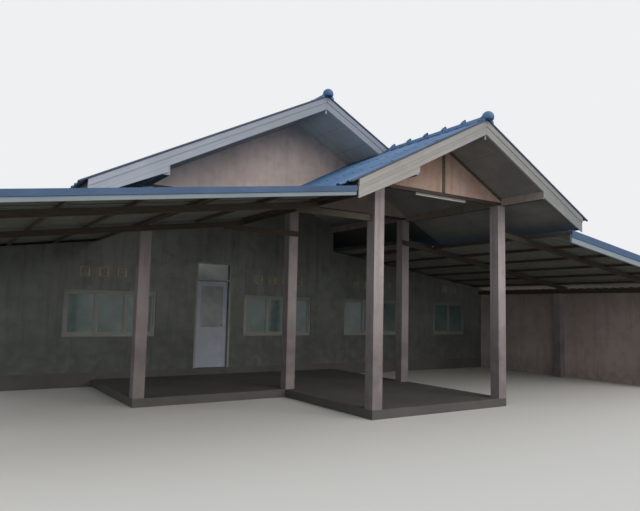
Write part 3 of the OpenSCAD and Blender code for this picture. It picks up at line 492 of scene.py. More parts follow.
def pick_points(wanted):
    bpy.ops.mesh.select_mode(type="VERT")
    bpy.ops.mesh.select_all(action="DESELECT")
    shape = bmesh.from_edit_mesh(bpy.context.object.data)
    for point in shape.verts:
        point.select_set(bool(wanted(point.co)))
    shape.select_flush(True)
    bmesh.update_edit_mesh(bpy.context.object.data)


def cut(at, square_to, fill=True, **drop):
    bpy.ops.mesh.select_all(action="SELECT")
    bpy.ops.mesh.bisect(plane_co=at, plane_no=square_to, use_fill=fill, **drop)


print("primitives, picking and cutting: helpers ready")

# %% [markdown]
# Modifiers do what repeats: an array sets the same form side by side, and a bevel softens every
# edge sharper than an angle. Each is applied at once, so that the next step works on real faces.

# %% Modifiers that are applied at once
def apply_modifier(kind, **settings):
    modifier = bpy.context.object.modifiers.new(kind.lower(), kind)
    for key, value in settings.items():
        setattr(modifier, key, value)
    bpy.ops.object.modifier_apply(modifier=modifier.name)


def repeat(count, step, merge=False):
    apply_modifier("ARRAY", count=count, use_relative_offset=False, use_constant_offset=True,
                   constant_offset_displace=step, use_merge_vertices=merge)


def bevel(width, degrees=40, segments=2):
    apply_modifier("BEVEL", width=width, segments=segments, limit_method="ANGLE",
                   angle_limit=math.radians(degrees))


print("array and bevel: helpers ready")

# %% [markdown]
# Copies are made as with shift-D: the piece is duplicated with its own mesh, moved, and at the end
# all of a row is joined to one object whose place lies in its mesh.

# %% Copies, rows and finished pieces
def choose(*pieces):
    bpy.ops.object.select_all(action="DESELECT")
    for piece in pieces:
        piece.select_set(True)
    bpy.context.view_layer.objects.active = pieces[0]


def copy_of(piece, place=(0.0, 0.0, 0.0), turn=(0.0, 0.0, 0.0)):
    choose(piece)
    bpy.ops.object.duplicate(linked=False)
    made = bpy.context.object
    made.location, made.rotation_euler = place, turn
    bpy.ops.object.transform_apply(location=True, rotation=True, scale=True)
    return made


def joined(name, pieces):
    choose(*pieces)
    if len(pieces) > 1:
        bpy.ops.object.join()
    whole = bpy.context.object
    whole.name = whole.data.name = name
    return whole


def remove(*pieces):
    for piece in pieces:
        bpy.data.objects.remove(piece, do_unlink=True)


def hand_over(piece, materials, replaced=(), body="house", smooth=30):
    choose(piece)
    bpy.ops.object.shade_smooth_by_angle(angle=math.radians(smooth))
    while len(piece.data.materials) < len(materials):
        piece.data.materials.append(None)
    for index, material in enumerate(materials):
        piece.data.materials[index] = material
    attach(piece, body)
    if replaced:
        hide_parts(*replaced)
    print("%s: %d faces" % (piece.name, len(piece.data.polygons)))


print("rows and finished pieces: helpers ready")

# %% [markdown]
# The roof sheets are roll-and-pan sheets: a flat pan and a low round roll every 25 cm. The
# profile starts as a circle on edge; its lower half is deleted, the rest is squashed to 26 mm, and
# its two feet are pulled out to flat pans. Pulling that line down the slope makes one strip, and
# an array sets the strips side by side. The lower end is lifted by one sheet's thickness, so that
# it can lie on the course below. A solidify gives 6 mm of thickness, and a second material to the
# underside.

# %% One course of roll sheets, lying flat
ROLL_R, ROLL_H, SHEET_T, LAP = 0.050, 0.026, 0.006, 0.12


def sheet_course(length, strip_w, strips, y0):
    middle = y0 + strip_w / 2
    course = begin(bpy.ops.mesh.primitive_circle_add, vertices=16, radius=ROLL_R,
                   fill_type="NOTHING", location=(0.0, middle, 0.0),
                   rotation=(0.0, math.pi / 2, 0.0))
    bpy.ops.object.mode_set(mode="EDIT")
    pick_points(lambda at: at.z < -0.001)
    bpy.ops.mesh.delete(type="VERT")
    bpy.ops.mesh.select_all(action="SELECT")
    bpy.ops.transform.resize(value=(1.0, 1.0, ROLL_H / ROLL_R), center_override=(0.0, middle, 0.0))
    for way in (-1, 1):
        pick_points(lambda at: way * (at.y - middle) > ROLL_R - 0.001)
        bpy.ops.mesh.extrude_region_move(
            TRANSFORM_OT_translate={"value": (0.0, way * (strip_w / 2 - ROLL_R), 0.0)})
    bpy.ops.mesh.select_all(action="SELECT")
    bpy.ops.mesh.extrude_region_move(TRANSFORM_OT_translate={"value": (length, 0.0, 0.0)})
    pick_points(lambda at: at.x > length - 0.001)
    bpy.ops.transform.translate(value=(0.0, 0.0, SHEET_T + 0.001))
    bpy.ops.mesh.select_all(action="SELECT")
    bpy.ops.mesh.normals_make_consistent(inside=False)
    bpy.ops.object.mode_set(mode="OBJECT")
    if course.data.polygons[0].normal.z < 0:
        bpy.ops.object.mode_set(mode="EDIT")
        bpy.ops.mesh.select_all(action="SELECT")
        bpy.ops.mesh.flip_normals()
        bpy.ops.object.mode_set(mode="OBJECT")
    repeat(strips, (0.0, strip_w, 0.0), merge=True)
    for material in (main_blue, sheet_underside):
        course.data.materials.append(material)
    apply_modifier("SOLIDIFY", thickness=SHEET_T, offset=1.0, material_offset=1)
    return course


print("rolls %.0f mm wide and %.0f mm high" % (ROLL_R * 2000, ROLL_H * 1000))

# %% [markdown]
# A whole slope is a few courses, each 1.0 to 1.25 m of open sheet and 12 cm of lap. They are
# copied down a flat slope first, joined, and then laid on the roof. A roof plane is written as its
# upper edge in X and Z, its pitch, and whether it falls to the left, for which it is turned half
# round. A run is written as its two ends in Y and its number of rolls. Plugs, fillets and nails
# are laid in the same way.

# %% Slopes of sheets
def lay_on(piece, plane, y):
    hinge, pitch, falls_left = plane
    piece.location = (hinge[0], y, hinge[1])
    piece.rotation_euler = (0.0, pitch, math.pi if falls_left else 0.0)
    bpy.ops.object.transform_apply(location=True, rotation=True, scale=True)
    return piece


MOST_SHOWN, BY_THE_RIDGE = 1.25, 0.03


def lay_slope(name, plane, x0, x1, run):
    y0, y1, strips = run
    courses = math.ceil((x1 - x0) / MOST_SHOWN)
    shown, half = (x1 - x0) / courses, (y1 - y0) / 2
    first = sheet_course(shown + LAP, 2 * half / strips, strips, -half)
    row = [copy_of(first, (x0 + k * shown, 0.0, 0.0)) for k in range(1, courses)]
    top = copy_of(first, (x0, 0.0, 0.0))
    remove(first)
    slope = joined(name, [top] + row)
    bpy.ops.object.mode_set(mode="EDIT")
    cut((x1, 0.0, 0.0), (1.0, 0.0, 0.0), clear_outer=True)
    bpy.ops.object.mode_set(mode="OBJECT")
    return lay_on(slope, plane, (y0 + y1) / 2)


MAIN_RUN, PORCH_RUN = (-1.24, 10.24, 46), (-3.82, -0.10, 15)
MAIN_SHEET, PORCH_SHEET = 4.347 / math.cos(SLOPE), 2.753 / math.cos(SLOPE)

for side, falls_left in (("left", True), ("right", False)):
    main_slope = lay_slope("main_sheets_" + side, (MAIN_RIDGE, SLOPE, falls_left), BY_THE_RIDGE,
                           MAIN_SHEET, MAIN_RUN)
    hand_over(main_slope, (main_blue, sheet_underside), ["main_roof_" + side])
    porch_slope = lay_slope("porch_sheets_" + side, (PORCH_RIDGE, SLOPE, falls_left), BY_THE_RIDGE,
                            PORCH_SHEET, PORCH_RUN)
    hand_over(porch_slope, (porch_blue, sheet_underside), ["porch_roof_" + side])

# %% [markdown]
# The lean-to wings carry the same sheets at a fall of 8 degrees. Each wing is two blocks, because
# in front of the house wall its inner edge reaches further in under the gable's eaves. Their
# lengths are measured level, from the upper edge, and then drawn out along the fall.

# %% Sheets of the two wings
LEFT_FALL, RIGHT_FALL = math.radians(8.1), math.radians(7.8)
LEFT_WING, RIGHT_WING = ((-1.143, 3.450), LEFT_FALL, True), ((3.833, 3.275), RIGHT_FALL, False)
FRONT_RUN, BACK_RUN = (-3.785, -0.12, 15), (-0.12, 9.5, 38)
LEFT_EAVES, RIGHT_EAVES, LEFT_HEAD, RIGHT_HEAD = 5.457, 5.767, 1.957, -0.733


def along(fall, level):
    return level / math.cos(fall)


left_eaves, right_eaves = along(LEFT_FALL, LEFT_EAVES), along(RIGHT_FALL, RIGHT_EAVES)
left_blocks = [
    lay_slope("left_front", LEFT_WING, 0.0, left_eaves, FRONT_RUN),
    lay_slope("left_back", LEFT_WING, along(LEFT_FALL, LEFT_HEAD), left_eaves, BACK_RUN),
]
right_blocks = [
    lay_slope("right_front", RIGHT_WING, 0.0, right_eaves, FRONT_RUN),
    lay_slope("right_back", RIGHT_WING, along(RIGHT_FALL, RIGHT_HEAD), right_eaves, BACK_RUN),
]
for side, blocks in (("left", left_blocks), ("right", right_blocks)):
    hand_over(joined(side + "_wing_sheets", blocks), (wing_blue, sheet_underside),
              [side + "_wing_roof"])

# %% [markdown]
# At its ends each roll is stopped with a plug of mortar, which keeps birds and rain out. A plug is
# a short cylinder on its side: its lower half is cut off, the rest is squashed to the inside of
# the roll, its outer face is inset and bulged a little, and an array repeats it from roll to roll.

# %% Mortar plugs in the rolls
PLUG_R, PLUG_H, PLUG_D = ROLL_R - 0.001, ROLL_H + 0.004, 0.04


def plug_row(plane, x, run, outward=1):
    y0, y1, strips = run
    strip_w, half = (y1 - y0) / strips, (y1 - y0) / 2
    middle = -half + strip_w / 2
    plug = begin(bpy.ops.mesh.primitive_cylinder_add, vertices=16, radius=PLUG_R, depth=PLUG_D,
                 location=(x, middle, 0.0), rotation=(0.0, math.pi / 2, 0.0))
    bpy.ops.object.mode_set(mode="EDIT")
    cut((0.0, 0.0, 0.0), (0.0, 0.0, 1.0), clear_inner=True)
    bpy.ops.mesh.select_all(action="SELECT")
    bpy.ops.transform.resize(value=(1.0, 1.0, PLUG_H / ROLL_R), center_override=(x, middle, 0.0))
    pick_faces(lambda at, normal: outward * normal.x > 0.9)
    bpy.ops.mesh.inset(thickness=0.008)
    bpy.ops.transform.translate(value=(outward * 0.004, 0.0, 0.0))
    bpy.ops.object.mode_set(mode="OBJECT")
    repeat(strips, (0.0, strip_w, 0.0))
    return lay_on(plug, plane, (y0 + y1) / 2)


MAIN_PLUGS, PORCH_PLUGS = 4.73, 2.94
IN_FROM_EAVES, IN_FROM_HEAD = 0.025, 0.028
plug_rows = []
for falls_left in (True, False):
    plug_rows.append(plug_row((MAIN_RIDGE, SLOPE, falls_left), MAIN_PLUGS, MAIN_RUN))
    plug_rows.append(plug_row((PORCH_RIDGE, SLOPE, falls_left), PORCH_PLUGS, PORCH_RUN))
left_x = along(LEFT_FALL, LEFT_EAVES - IN_FROM_EAVES)
right_x = along(RIGHT_FALL, RIGHT_EAVES - IN_FROM_EAVES)
left_head_x = along(LEFT_FALL, LEFT_HEAD + IN_FROM_HEAD)
right_head_x = along(RIGHT_FALL, RIGHT_HEAD + IN_FROM_HEAD)
for run, outward, left_at, right_at in (
        (BACK_RUN, 1, left_x, right_x), (BACK_RUN, -1, left_head_x, right_head_x),
        (FRONT_RUN, 1, left_x, right_x), (FRONT_RUN, -1, IN_FROM_HEAD, IN_FROM_HEAD)):
    plug_rows.append(plug_row(LEFT_WING, left_at, run, outward))
    plug_rows.append(plug_row(RIGHT_WING, right_at, run, outward))
hand_over(joined("mortar_plugs", plug_rows), (mortar,), smooth=40)

# %% [markdown]
# The upper ends of the wing sheets are closed with a fillet of mortar that fills the pans between
# the rolls, against the house wall or under the gable's eaves. It is a long box on the flat slope;
# its top face is made narrower by a scale, so that both long sides lean, and its edges are
# softened.

# %% Mortar fillets along the heads of the wing sheets
FILLET_W, FILLET_T, FILLET_Z, FILLET_IN = 0.06, 0.036, 0.020, 0.034


def head_fillet(plane, x, run):
    y0, y1, strips = run
    fillet = begin(bpy.ops.mesh.primitive_cube_add, size=1.0, scale=(FILLET_W, y1 - y0, FILLET_T),
                   location=(x, 0.0, FILLET_Z))
    bpy.ops.object.mode_set(mode="EDIT")
    pick_faces(lambda at, normal: normal.z > 0.9)
    bpy.ops.transform.resize(value=(0.55, 1.0, 1.0),
                             center_override=(x, 0.0, FILLET_Z + FILLET_T / 2))
    bpy.ops.object.mode_set(mode="OBJECT")
    bevel(0.006, 30)
    return lay_on(fillet, plane, (y0 + y1) / 2)


fillets = [
    head_fillet(LEFT_WING, FILLET_IN, FRONT_RUN),
    head_fillet(LEFT_WING, along(LEFT_FALL, LEFT_HEAD + FILLET_IN), BACK_RUN),
    head_fillet(RIGHT_WING, FILLET_IN, FRONT_RUN),
    head_fillet(RIGHT_WING, along(RIGHT_FALL, RIGHT_HEAD + FILLET_IN), BACK_RUN),
]
hand_over(joined("mortar_fillets", fillets), (mortar,), smooth=40)

# %% [markdown]
# Every sheet is nailed through the tops of its rolls into the purlins, with a domed galvanised
# nail on a washer. One nail is a small cylinder whose top is inset and pulled up to a dome; two
# arrays repeat it along the purlin and down the slope. There are more than a thousand, so each has
# few faces.

# %% Roofing nails
NAIL_R, NAIL_H = 0.013, 0.004


def nail_field(plane, run, rows, gap, first):
    y0, y1, strips = run
    strip_w, half = (y1 - y0) / strips, (y1 - y0) / 2
    nail = begin(bpy.ops.mesh.primitive_cylinder_add, vertices=8, radius=NAIL_R, depth=NAIL_H,
                 location=(first, -half + strip_w / 2, ROLL_H + SHEET_T + NAIL_H))
    bpy.ops.object.mode_set(mode="EDIT")
    pick_faces(lambda at, normal: normal.z > 0.9)
    bpy.ops.mesh.inset(thickness=0.006)
    bpy.ops.transform.translate(value=(0.0, 0.0, 0.004))
    pick_faces(lambda at, normal: normal.z < -0.9)
    bpy.ops.transform.translate(value=(0.0, 0.0, -0.006))
    bpy.ops.object.mode_set(mode="OBJECT")
    repeat(strips, (0.0, strip_w, 0.0))
    repeat(rows, (gap, 0.0, 0.0))
    return lay_on(nail, plane, (y0 + y1) / 2)


WING_RUN = (FRONT_RUN[0], BACK_RUN[1], FRONT_RUN[2] + BACK_RUN[2])
nail_rows = []
for falls_left in (True, False):
    nail_rows.append(nail_field((MAIN_RIDGE, SLOPE, falls_left), MAIN_RUN, rows=5, gap=0.936,
                                first=0.964))
    nail_rows.append(nail_field((PORCH_RIDGE, SLOPE, falls_left), PORCH_RUN, rows=3, gap=0.963,
                                first=0.991))
nail_rows.append(nail_field(LEFT_WING, WING_RUN, rows=5, gap=0.871, first=1.996))
nail_rows.append(nail_field(RIGHT_WING, WING_RUN, rows=6, gap=0.963, first=0.92))
hand_over(joined("roofing_nails", nail_rows), (galvanised_steel,), smooth=40)

# %% [markdown]
# Along each gable the last sheet ends in a roll that laps over the top edge of the bargeboard and
# draws a dark line there, whose slate colour is a painted shade. It is a long cylinder laid down
# the slope: a cut takes off what would sink into the board, both ends are inset and domed, and it
# is turned and moved like the sheets.

# %% Verge rolls over the bargeboards
VERGE_R, VERGE_SINK, VERGE_START = 0.018, 0.003, 0.05


def verge_roll(ridge, falls_left, length, y):
    verge = begin(bpy.ops.mesh.primitive_cylinder_add, vertices=16, radius=VERGE_R,
                  depth=length - VERGE_START, rotation=(0.0, math.pi / 2, 0.0),
                  location=(VERGE_START + length / 2, 0.0, VERGE_R - VERGE_SINK))
    bpy.ops.object.mode_set(mode="EDIT")
    cut((0.0, 0.0, 0.001), (0.0, 0.0, 1.0), clear_inner=True)
    for way in (-1, 1):
        pick_faces(lambda at, normal: way * normal.x > 0.9)
        bpy.ops.mesh.inset(thickness=0.005)
        bpy.ops.transform.translate(value=(way * 0.004, 0.0, 0.0))
    bpy.ops.object.mode_set(mode="OBJECT")
    return lay_on(verge, (ridge, SLOPE, falls_left), y)


FRONT_VERGE, REAR_VERGE, PORCH_VERGE = -1.236, 10.236, -3.816
verges = [verge_roll(ridge, falls_left, length, y)
          for ridge, length, y in ((MAIN_RIDGE, MAIN_SHEET, FRONT_VERGE),
                                   (MAIN_RIDGE, MAIN_SHEET, REAR_VERGE),
                                   (PORCH_RIDGE, PORCH_SHEET, PORCH_VERGE))
          for falls_left in (True, False)]
hand_over(joined("verge_rolls", verges), (verge_painted_shade,), smooth=40)

# %% [markdown]
# A ridge tile is a saddle with a low round roll along its top. Its front end flares to a collar
# that grips the roll of the tile in front. On the porch the collar is a wide bell with a
# leaf-shaped tip, and from the street these tips stand along the ridge like fins; on the main
# ridge it is plain. The saddle is a flat box, cut along its middle and folded down. Its underside
# is let down between the rolls of the sheets, as the mortar bed is.

# %% Saddle of one ridge tile
TILE_L, SADDLE, CREST, FOLD = 0.47, 0.260, 0.0453, math.tan(SLOPE)
SADDLE_T, BED = 0.016 / math.cos(SLOPE), 0.028
LIP_D, LIP_OVER, LIP_UP = 0.030, 0.010, 0.006


def saddle_piece(width, depth, thick):
    piece = begin(bpy.ops.mesh.primitive_cube_add, size=1.0, scale=(width, depth, thick + BED),
                  location=(0.0, depth / 2, CREST + (thick - BED) / 2))
    bpy.ops.object.mode_set(mode="EDIT")
    cut((0.0, 0.0, 0.0), (1.0, 0.0, 0.0), fill=False)
    pick_points(lambda at: abs(at.x) > 0.1)
    bpy.ops.transform.translate(value=(0.0, 0.0, -width / 2 * FOLD))
    bpy.ops.object.mode_set(mode="OBJECT")
    bevel(0.003, 50)
    return piece


print("saddle %.0f mm wide, %.1f mm thick" % (SADDLE * 1000, SADDLE_T * 1000))

# %% [markdown]
# The roll is a cylinder. Rings are cut across it and scaled up towards the front; where there is a
# tip, the top of the first ring is pulled forward and up. Then one half is cut to the slope of the
# saddle, opened along the middle, and mirrored, which keeps both sides alike and leaves no wall
# inside.

# %% Roll and collar of one ridge tile
ROLL_Z, RIDGE_ROLL = 0.030, 0.055
BELL = [(0.0, 0.086), (0.010, 0.082), (0.028, 0.072), (0.050, 0.064), (0.080, 0.058),
        (0.115, RIDGE_ROLL)]
PLAIN = [(0.0, 0.063), (0.012, 0.064), (0.060, 0.063), (0.070, RIDGE_ROLL)]


def ridge_tile(name, rings, leaf):
    roll = begin(bpy.ops.mesh.primitive_cylinder_add, vertices=32, radius=RIDGE_ROLL, depth=TILE_L,
                 location=(0.0, TILE_L / 2, ROLL_Z), rotation=(math.pi / 2, 0.0, 0.0))
    bpy.ops.object.mode_set(mode="EDIT")
    for ring_y, _ in rings[1:]:
        cut((0.0, ring_y, 0.0), (0.0, 1.0, 0.0), fill=False)
    for ring_y, ring_r in rings[:-1]:
        pick_points(lambda at: abs(at.y - ring_y) < 0.001)
        grow = ring_r / RIDGE_ROLL
        bpy.ops.transform.resize(value=(grow, 1.0, grow), center_override=(0.0, ring_y, ROLL_Z))
    for reach, lift in leaf:
        pick_points(lambda at: at.y < 0.001 and abs(at.x) < reach and at.z > ROLL_Z + 0.05)
        bpy.ops.transform.translate(value=(0.0, -0.016, lift))
    pick_faces(lambda at, normal: normal.y < -0.6 and at.y < 0.001)
    bpy.ops.mesh.inset(thickness=0.012)
    bpy.ops.transform.translate(value=(0.0, 0.014 if leaf else 0.006, 0.0))
    cut((0.0, 0.0, 0.0), (1.0, 0.0, 0.0), clear_inner=True)
    cut((0.0, 0.0, CREST + SADDLE_T / 2), (math.sin(SLOPE), 0.0, math.cos(SLOPE)), clear_inner=True)
    pick_faces(lambda at, normal: abs(at.x) < 0.0005)
    bpy.ops.mesh.delete(type="FACE")
    bpy.ops.object.mode_set(mode="OBJECT")
    apply_modifier("MIRROR", use_axis=(True, False, False), use_mirror_merge=True,
                   merge_threshold=0.0005)
    bpy.ops.object.mode_set(mode="EDIT")
    bpy.ops.mesh.select_all(action="SELECT")
    bpy.ops.mesh.normals_make_consistent(inside=False)
    bpy.ops.object.mode_set(mode="OBJECT")
    saddle = saddle_piece(SADDLE, TILE_L, SADDLE_T)
    saddle_lip = saddle_piece(SADDLE + LIP_OVER, LIP_D, SADDLE_T + LIP_UP)
    made = joined(name, [saddle, saddle_lip, roll])
    print("%s: %d faces" % (name, len(made.data.polygons)))
    return made


leaf_tile = ridge_tile("leaf_tipped_tile", BELL, ((0.055, 0.006), (0.022, 0.012)))
plain_tile = ridge_tile("plain_tile", PLAIN, ())

# %% [markdown]
# The front of each ridge ends in a round knob over the gable's point. It is a ball, cut flat at
# the back where it sits on the first tile and underneath where it meets the boards.

# %% Knob at the front of a ridge
KNOB_R, KNOB_Y, KNOB_Z = 0.102, 0.055, 0.048
KNOB_BACK, KNOB_FOOT = KNOB_Y + 0.07, CREST - 0.040
knob = begin(bpy.ops.mesh.primitive_uv_sphere_add, segments=32, ring_count=16, radius=KNOB_R,
             location=(0.0, KNOB_Y, KNOB_Z), rotation=(math.pi / 2, 0.0, 0.0))
bpy.ops.object.mode_set(mode="EDIT")
cut((0.0, KNOB_BACK, 0.0), (0.0, 1.0, 0.0), clear_outer=True)
cut((0.0, 0.0, KNOB_FOOT), (0.0, 0.0, 1.0), clear_inner=True)
bpy.ops.object.mode_set(mode="OBJECT")
bevel(0.004)
print("ridge knob: %d faces" % len(knob.data.polygons))

# %% [markdown]
# The tiles are copied along both ridges from the front. The first one sits mostly under the knob
# and is cut back to it, and the last one of a row is cut to length. A tile is three shells that
# overlap, so they are separated for the cut, and each is closed again by itself.

# %% Rows of ridge tiles
def cut_tile(tile, cut_y, **drop):
    choose(tile)
    bpy.ops.object.mode_set(mode="EDIT")
    bpy.ops.mesh.select_all(action="SELECT")
    bpy.ops.mesh.separate(type="LOOSE")
    bpy.ops.object.mode_set(mode="OBJECT")
    shells = list(bpy.context.selected_objects)
    for shell in shells:
        choose(shell)
        bpy.ops.object.mode_set(mode="EDIT")
        cut((0.0, cut_y, 0.0), (0.0, 1.0, 0.0), **drop)
        bpy.ops.object.mode_set(mode="OBJECT")
    return joined("cut_tile", shells)


FIRST_SHOWN, UNDER_KNOB = 0.12, 0.045


def ridge_row(name, tile, ridge, y0, y1):
    start = y0 + FIRST_SHOWN - TILE_L
    places = [start + i * TILE_L for i in range(math.ceil((y1 - start) / TILE_L))]
    row = [copy_of(tile, (ridge[0], y, ridge[1])) for y in places]
    row[0] = cut_tile(row[0], y0 + UNDER_KNOB, clear_inner=True)
    row[-1] = cut_tile(row[-1], y1, clear_outer=True)
    return joined(name, row + [copy_of(knob, (ridge[0], y0, ridge[1]))])


MAIN_FRONT, MAIN_REAR, PORCH_FRONT = -1.305, 10.305, -3.885
main_tiles = ridge_row("main_ridge_tiles", plain_tile, MAIN_RIDGE, MAIN_FRONT, MAIN_REAR)
hand_over(main_tiles, (main_blue,), ["main_ridge"])
porch_tiles = ridge_row("porch_ridge_tiles", leaf_tile, PORCH_RIDGE, PORCH_FRONT, MAIN_FRONT)
hand_over(porch_tiles, (porch_blue,), ["porch_ridge"])
remove(plain_tile, leaf_tile, knob)

# %% [markdown]
# Behind the point of each gable a short pale peg shows under the bargeboards: the end of the cleat
# that holds the two boards together. It is a small box with its lower end tapered and softened.

# %% Cleats behind the gable points
CLEAT_W, CLEAT_T, CLEAT_H, CLEAT_DOWN, OFF_BOARD = 0.034, 0.028, 0.20, 0.215, 0.0005


def cleat(ridge, board_back):
    middle_y = board_back + OFF_BOARD + CLEAT_T / 2
    piece = begin(bpy.ops.mesh.primitive_cube_add, size=1.0, scale=(CLEAT_W, CLEAT_T, CLEAT_H),
                  location=(ridge[0], middle_y, ridge[1] - CLEAT_DOWN))
    bpy.ops.object.mode_set(mode="EDIT")
    pick_faces(lambda at, normal: normal.z < -0.9)
    bpy.ops.mesh.inset(thickness=0.004)
    bpy.ops.transform.translate(value=(0.0, 0.0, -0.006))
    bpy.ops.object.mode_set(mode="OBJECT")
    bevel(0.002)
    return piece


MAIN_BOARD_BACK, PORCH_BOARD_BACK = -1.195, -3.775
cleats = joined("gable_cleats", [cleat(MAIN_RIDGE, MAIN_BOARD_BACK),
                                 cleat(PORCH_RIDGE, PORCH_BOARD_BACK)])
hand_over(cleats, (porch_boards,))

# %% [markdown]
# The windows are timber casements, 62 cm wide, two or three in a frame. A frame is a box whose two
# faces are inset and bridged to a tunnel, which leaves four bars; a bevel takes the sharpness off
# its arrises. One such function serves the outer frames, the sashes in them and the glazing beads.

# %% Bars round a pane
def bars(width, height, depth, bar, y=0.0, soften=0.002):
    piece = begin(bpy.ops.mesh.primitive_cube_add, size=1.0, scale=(width, depth, height),
                  location=(0.0, y, 0.0))
    bpy.ops.object.mode_set(mode="EDIT")
    pick_faces(lambda at, normal: abs(normal.y) > 0.9)
    bpy.ops.mesh.inset(thickness=bar)
    bpy.ops.mesh.bridge_edge_loops()
    bpy.ops.mesh.select_all(action="SELECT")
    bpy.ops.mesh.normals_make_consistent(inside=False)
    bpy.ops.object.mode_set(mode="OBJECT")
    bevel(soften)
    return piece


CASEMENT_W, WINDOW_H, BOX_BAR, BOX_D = 0.62, 1.0, 0.05, 0.08
PANE_W, PANE_H = 0.54, 0.82
print("casement %.0f mm wide, pane %.0f by %.0f mm"
      % (CASEMENT_W * 1000, PANE_W * 1000, PANE_H * 1000))

# %% [markdown]
# One casement is its sash, a bead on each side of the glass, and a stay bar along its foot inside.
# A 3 mm gap runs round each sash. Where two sashes meet, a thin cover strip hides the gap.

# %% One casement and one cover strip
OPENING_H, GAP = WINDOW_H - 2 * BOX_BAR, 0.003
sash = bars(CASEMENT_W - 2 * GAP, OPENING_H - 2 * GAP, depth=0.045, bar=0.037)
outer_bead = bars(PANE_W, PANE_H, depth=0.010, bar=0.009, y=-0.0085, soften=0.003)
inner_bead = bars(PANE_W, PANE_H, depth=0.010, bar=0.009, y=0.0085, soften=0.003)

STAY_SIZE, STAY_AT = (0.25, 0.006, 0.012), (0.05, 0.028, -0.43)
stay = begin(bpy.ops.mesh.primitive_cube_add, size=1.0, scale=STAY_SIZE, location=STAY_AT)
bpy.ops.object.mode_set(mode="EDIT")
pick_faces(lambda at, normal: normal.x > 0.9)
bpy.ops.mesh.extrude_region_move(TRANSFORM_OT_translate={"value": (0.012, 0.006, 0.0)})
bpy.ops.mesh.extrude_region_move(TRANSFORM_OT_translate={"value": (0.03, 0.0, 0.0)})
bpy.ops.object.mode_set(mode="OBJECT")
bevel(0.0015, segments=1)
casement = joined("casement", [sash, outer_bead, inner_bead, stay])

COVER_SIZE, COVER_AT = (0.026, 0.008, OPENING_H - 0.008), (0.0, -0.0265, 0.0)
cover = begin(bpy.ops.mesh.primitive_cube_add, size=1.0, scale=COVER_SIZE, location=COVER_AT)
bpy.ops.object.mode_set(mode="EDIT")
pick_faces(lambda at, normal: normal.y < -0.9)
bpy.ops.transform.resize(value=(0.6, 1.0, 0.99), center_override=COVER_AT)
bpy.ops.object.mode_set(mode="OBJECT")
bevel(0.0015, 30)
print("one casement: %d faces" % len(casement.data.polygons))

# %% [markdown]
# Twelve windows stand in the four walls, all at one sill height. The list gives each window's
# place in plan, its number of casements and which way it faces; the frames and casements are then
# copied to it, turned to the wall. The panes themselves are the construction's own.

# %% Casements into every window
FLOOR_Z, SILL_H = 0.30, 0.75
WINDOW_Z = FLOOR_Z + SILL_H + WINDOW_H / 2
FRONT_Y, REAR_Y, LEFT_X, RIGHT_X = 3.0, 9.0, -6.0, 9.0
TO_FRONT, TO_REAR, TO_LEFT, TO_RIGHT = 0.0, math.pi, -math.pi / 2, math.pi / 2
windows = [(x, FRONT_Y, n, TO_FRONT) for x, n in ((-2.77, 3), (1.40, 3), (4.45, 3), (7.50, 2))]
windows += [(x, REAR_Y, n, TO_REAR) for x, n in ((-4.45, 2), (-0.60, 3), (1.80, 2), (6.00, 3))]
windows += [(x, y, 2, turn) for x, turn in ((LEFT_X, TO_LEFT), (RIGHT_X, TO_RIGHT))
            for y in (4.8, 7.2)]


def set_in(piece, x, y, turn, shift=0.0):
    place = (x + shift * math.cos(turn), y + shift * math.sin(turn), WINDOW_Z)
    return copy_of(piece, place, (0.0, 0.0, turn))


boxes = {n: bars(n * CASEMENT_W + 2 * BOX_BAR, WINDOW_H, BOX_D, BOX_BAR, soften=0.004)
         for n in (2, 3)}
frame_pieces, casement_pieces = [], []
for x, y, n, turn in windows:
    frame_pieces.append(set_in(boxes[n], x, y, turn))
    for i in range(n):
        shift = (i - (n - 1) / 2) * CASEMENT_W
        casement_pieces.append(set_in(casement, x, y, turn, shift))
        if i:
            casement_pieces.append(set_in(cover, x, y, turn, shift - CASEMENT_W / 2))
remove(casement, cover, *boxes.values())
window_boxes = joined("window_boxes", frame_pieces)
hand_over(window_boxes, (frame_paint,), ["window_frames"])
window_casements = joined("window_casements", casement_pieces)
hand_over(window_casements, (frame_paint,), ["window_frames"])

# %% [markdown]
# The door leaf is a plain slab with sunk panels in the construction. Real ones hold their glass
# with beads, and a moulding runs round the sunk panel. Both are bars again, and ride on the door.

# %% Beads and mouldings of the front door
leaf_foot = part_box("door_leaf")[0][2]
glass_low, glass_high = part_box("door_glass")
glass_w, glass_h = glass_high[0] - glass_low[0], glass_high[2] - glass_low[2]
glass_at = [(a + b) / 2 for a, b in zip(glass_low, glass_high)]
PANEL_H, PANEL_UP = 0.62, 0.53
panel_at = (glass_at[0], glass_at[1], leaf_foot + PANEL_UP)
door_bars = []
for way in (-1, 1):
    bead = bars(glass_w, glass_h, depth=0.012, bar=0.014, y=way * 0.010, soften=0.004)
    moulding = bars(glass_w, PANEL_H, depth=0.007, bar=0.018, y=way * 0.0145, soften=0.003)
    door_bars += [copy_of(bead, glass_at), copy_of(moulding, panel_at)]
    remove(bead, moulding)
hand_over(joined("door_beads", door_bars), (door_paint,), body="door")

# %% [markdown]
# The light under the porch beam is a bare fluorescent batten. Its tray is a box whose lower edges
# are tapered; the tube is a cylinder with its ends inset and pushed out to the metal caps; each
# holder is a box with its lower half narrowed, with a rounded foot.

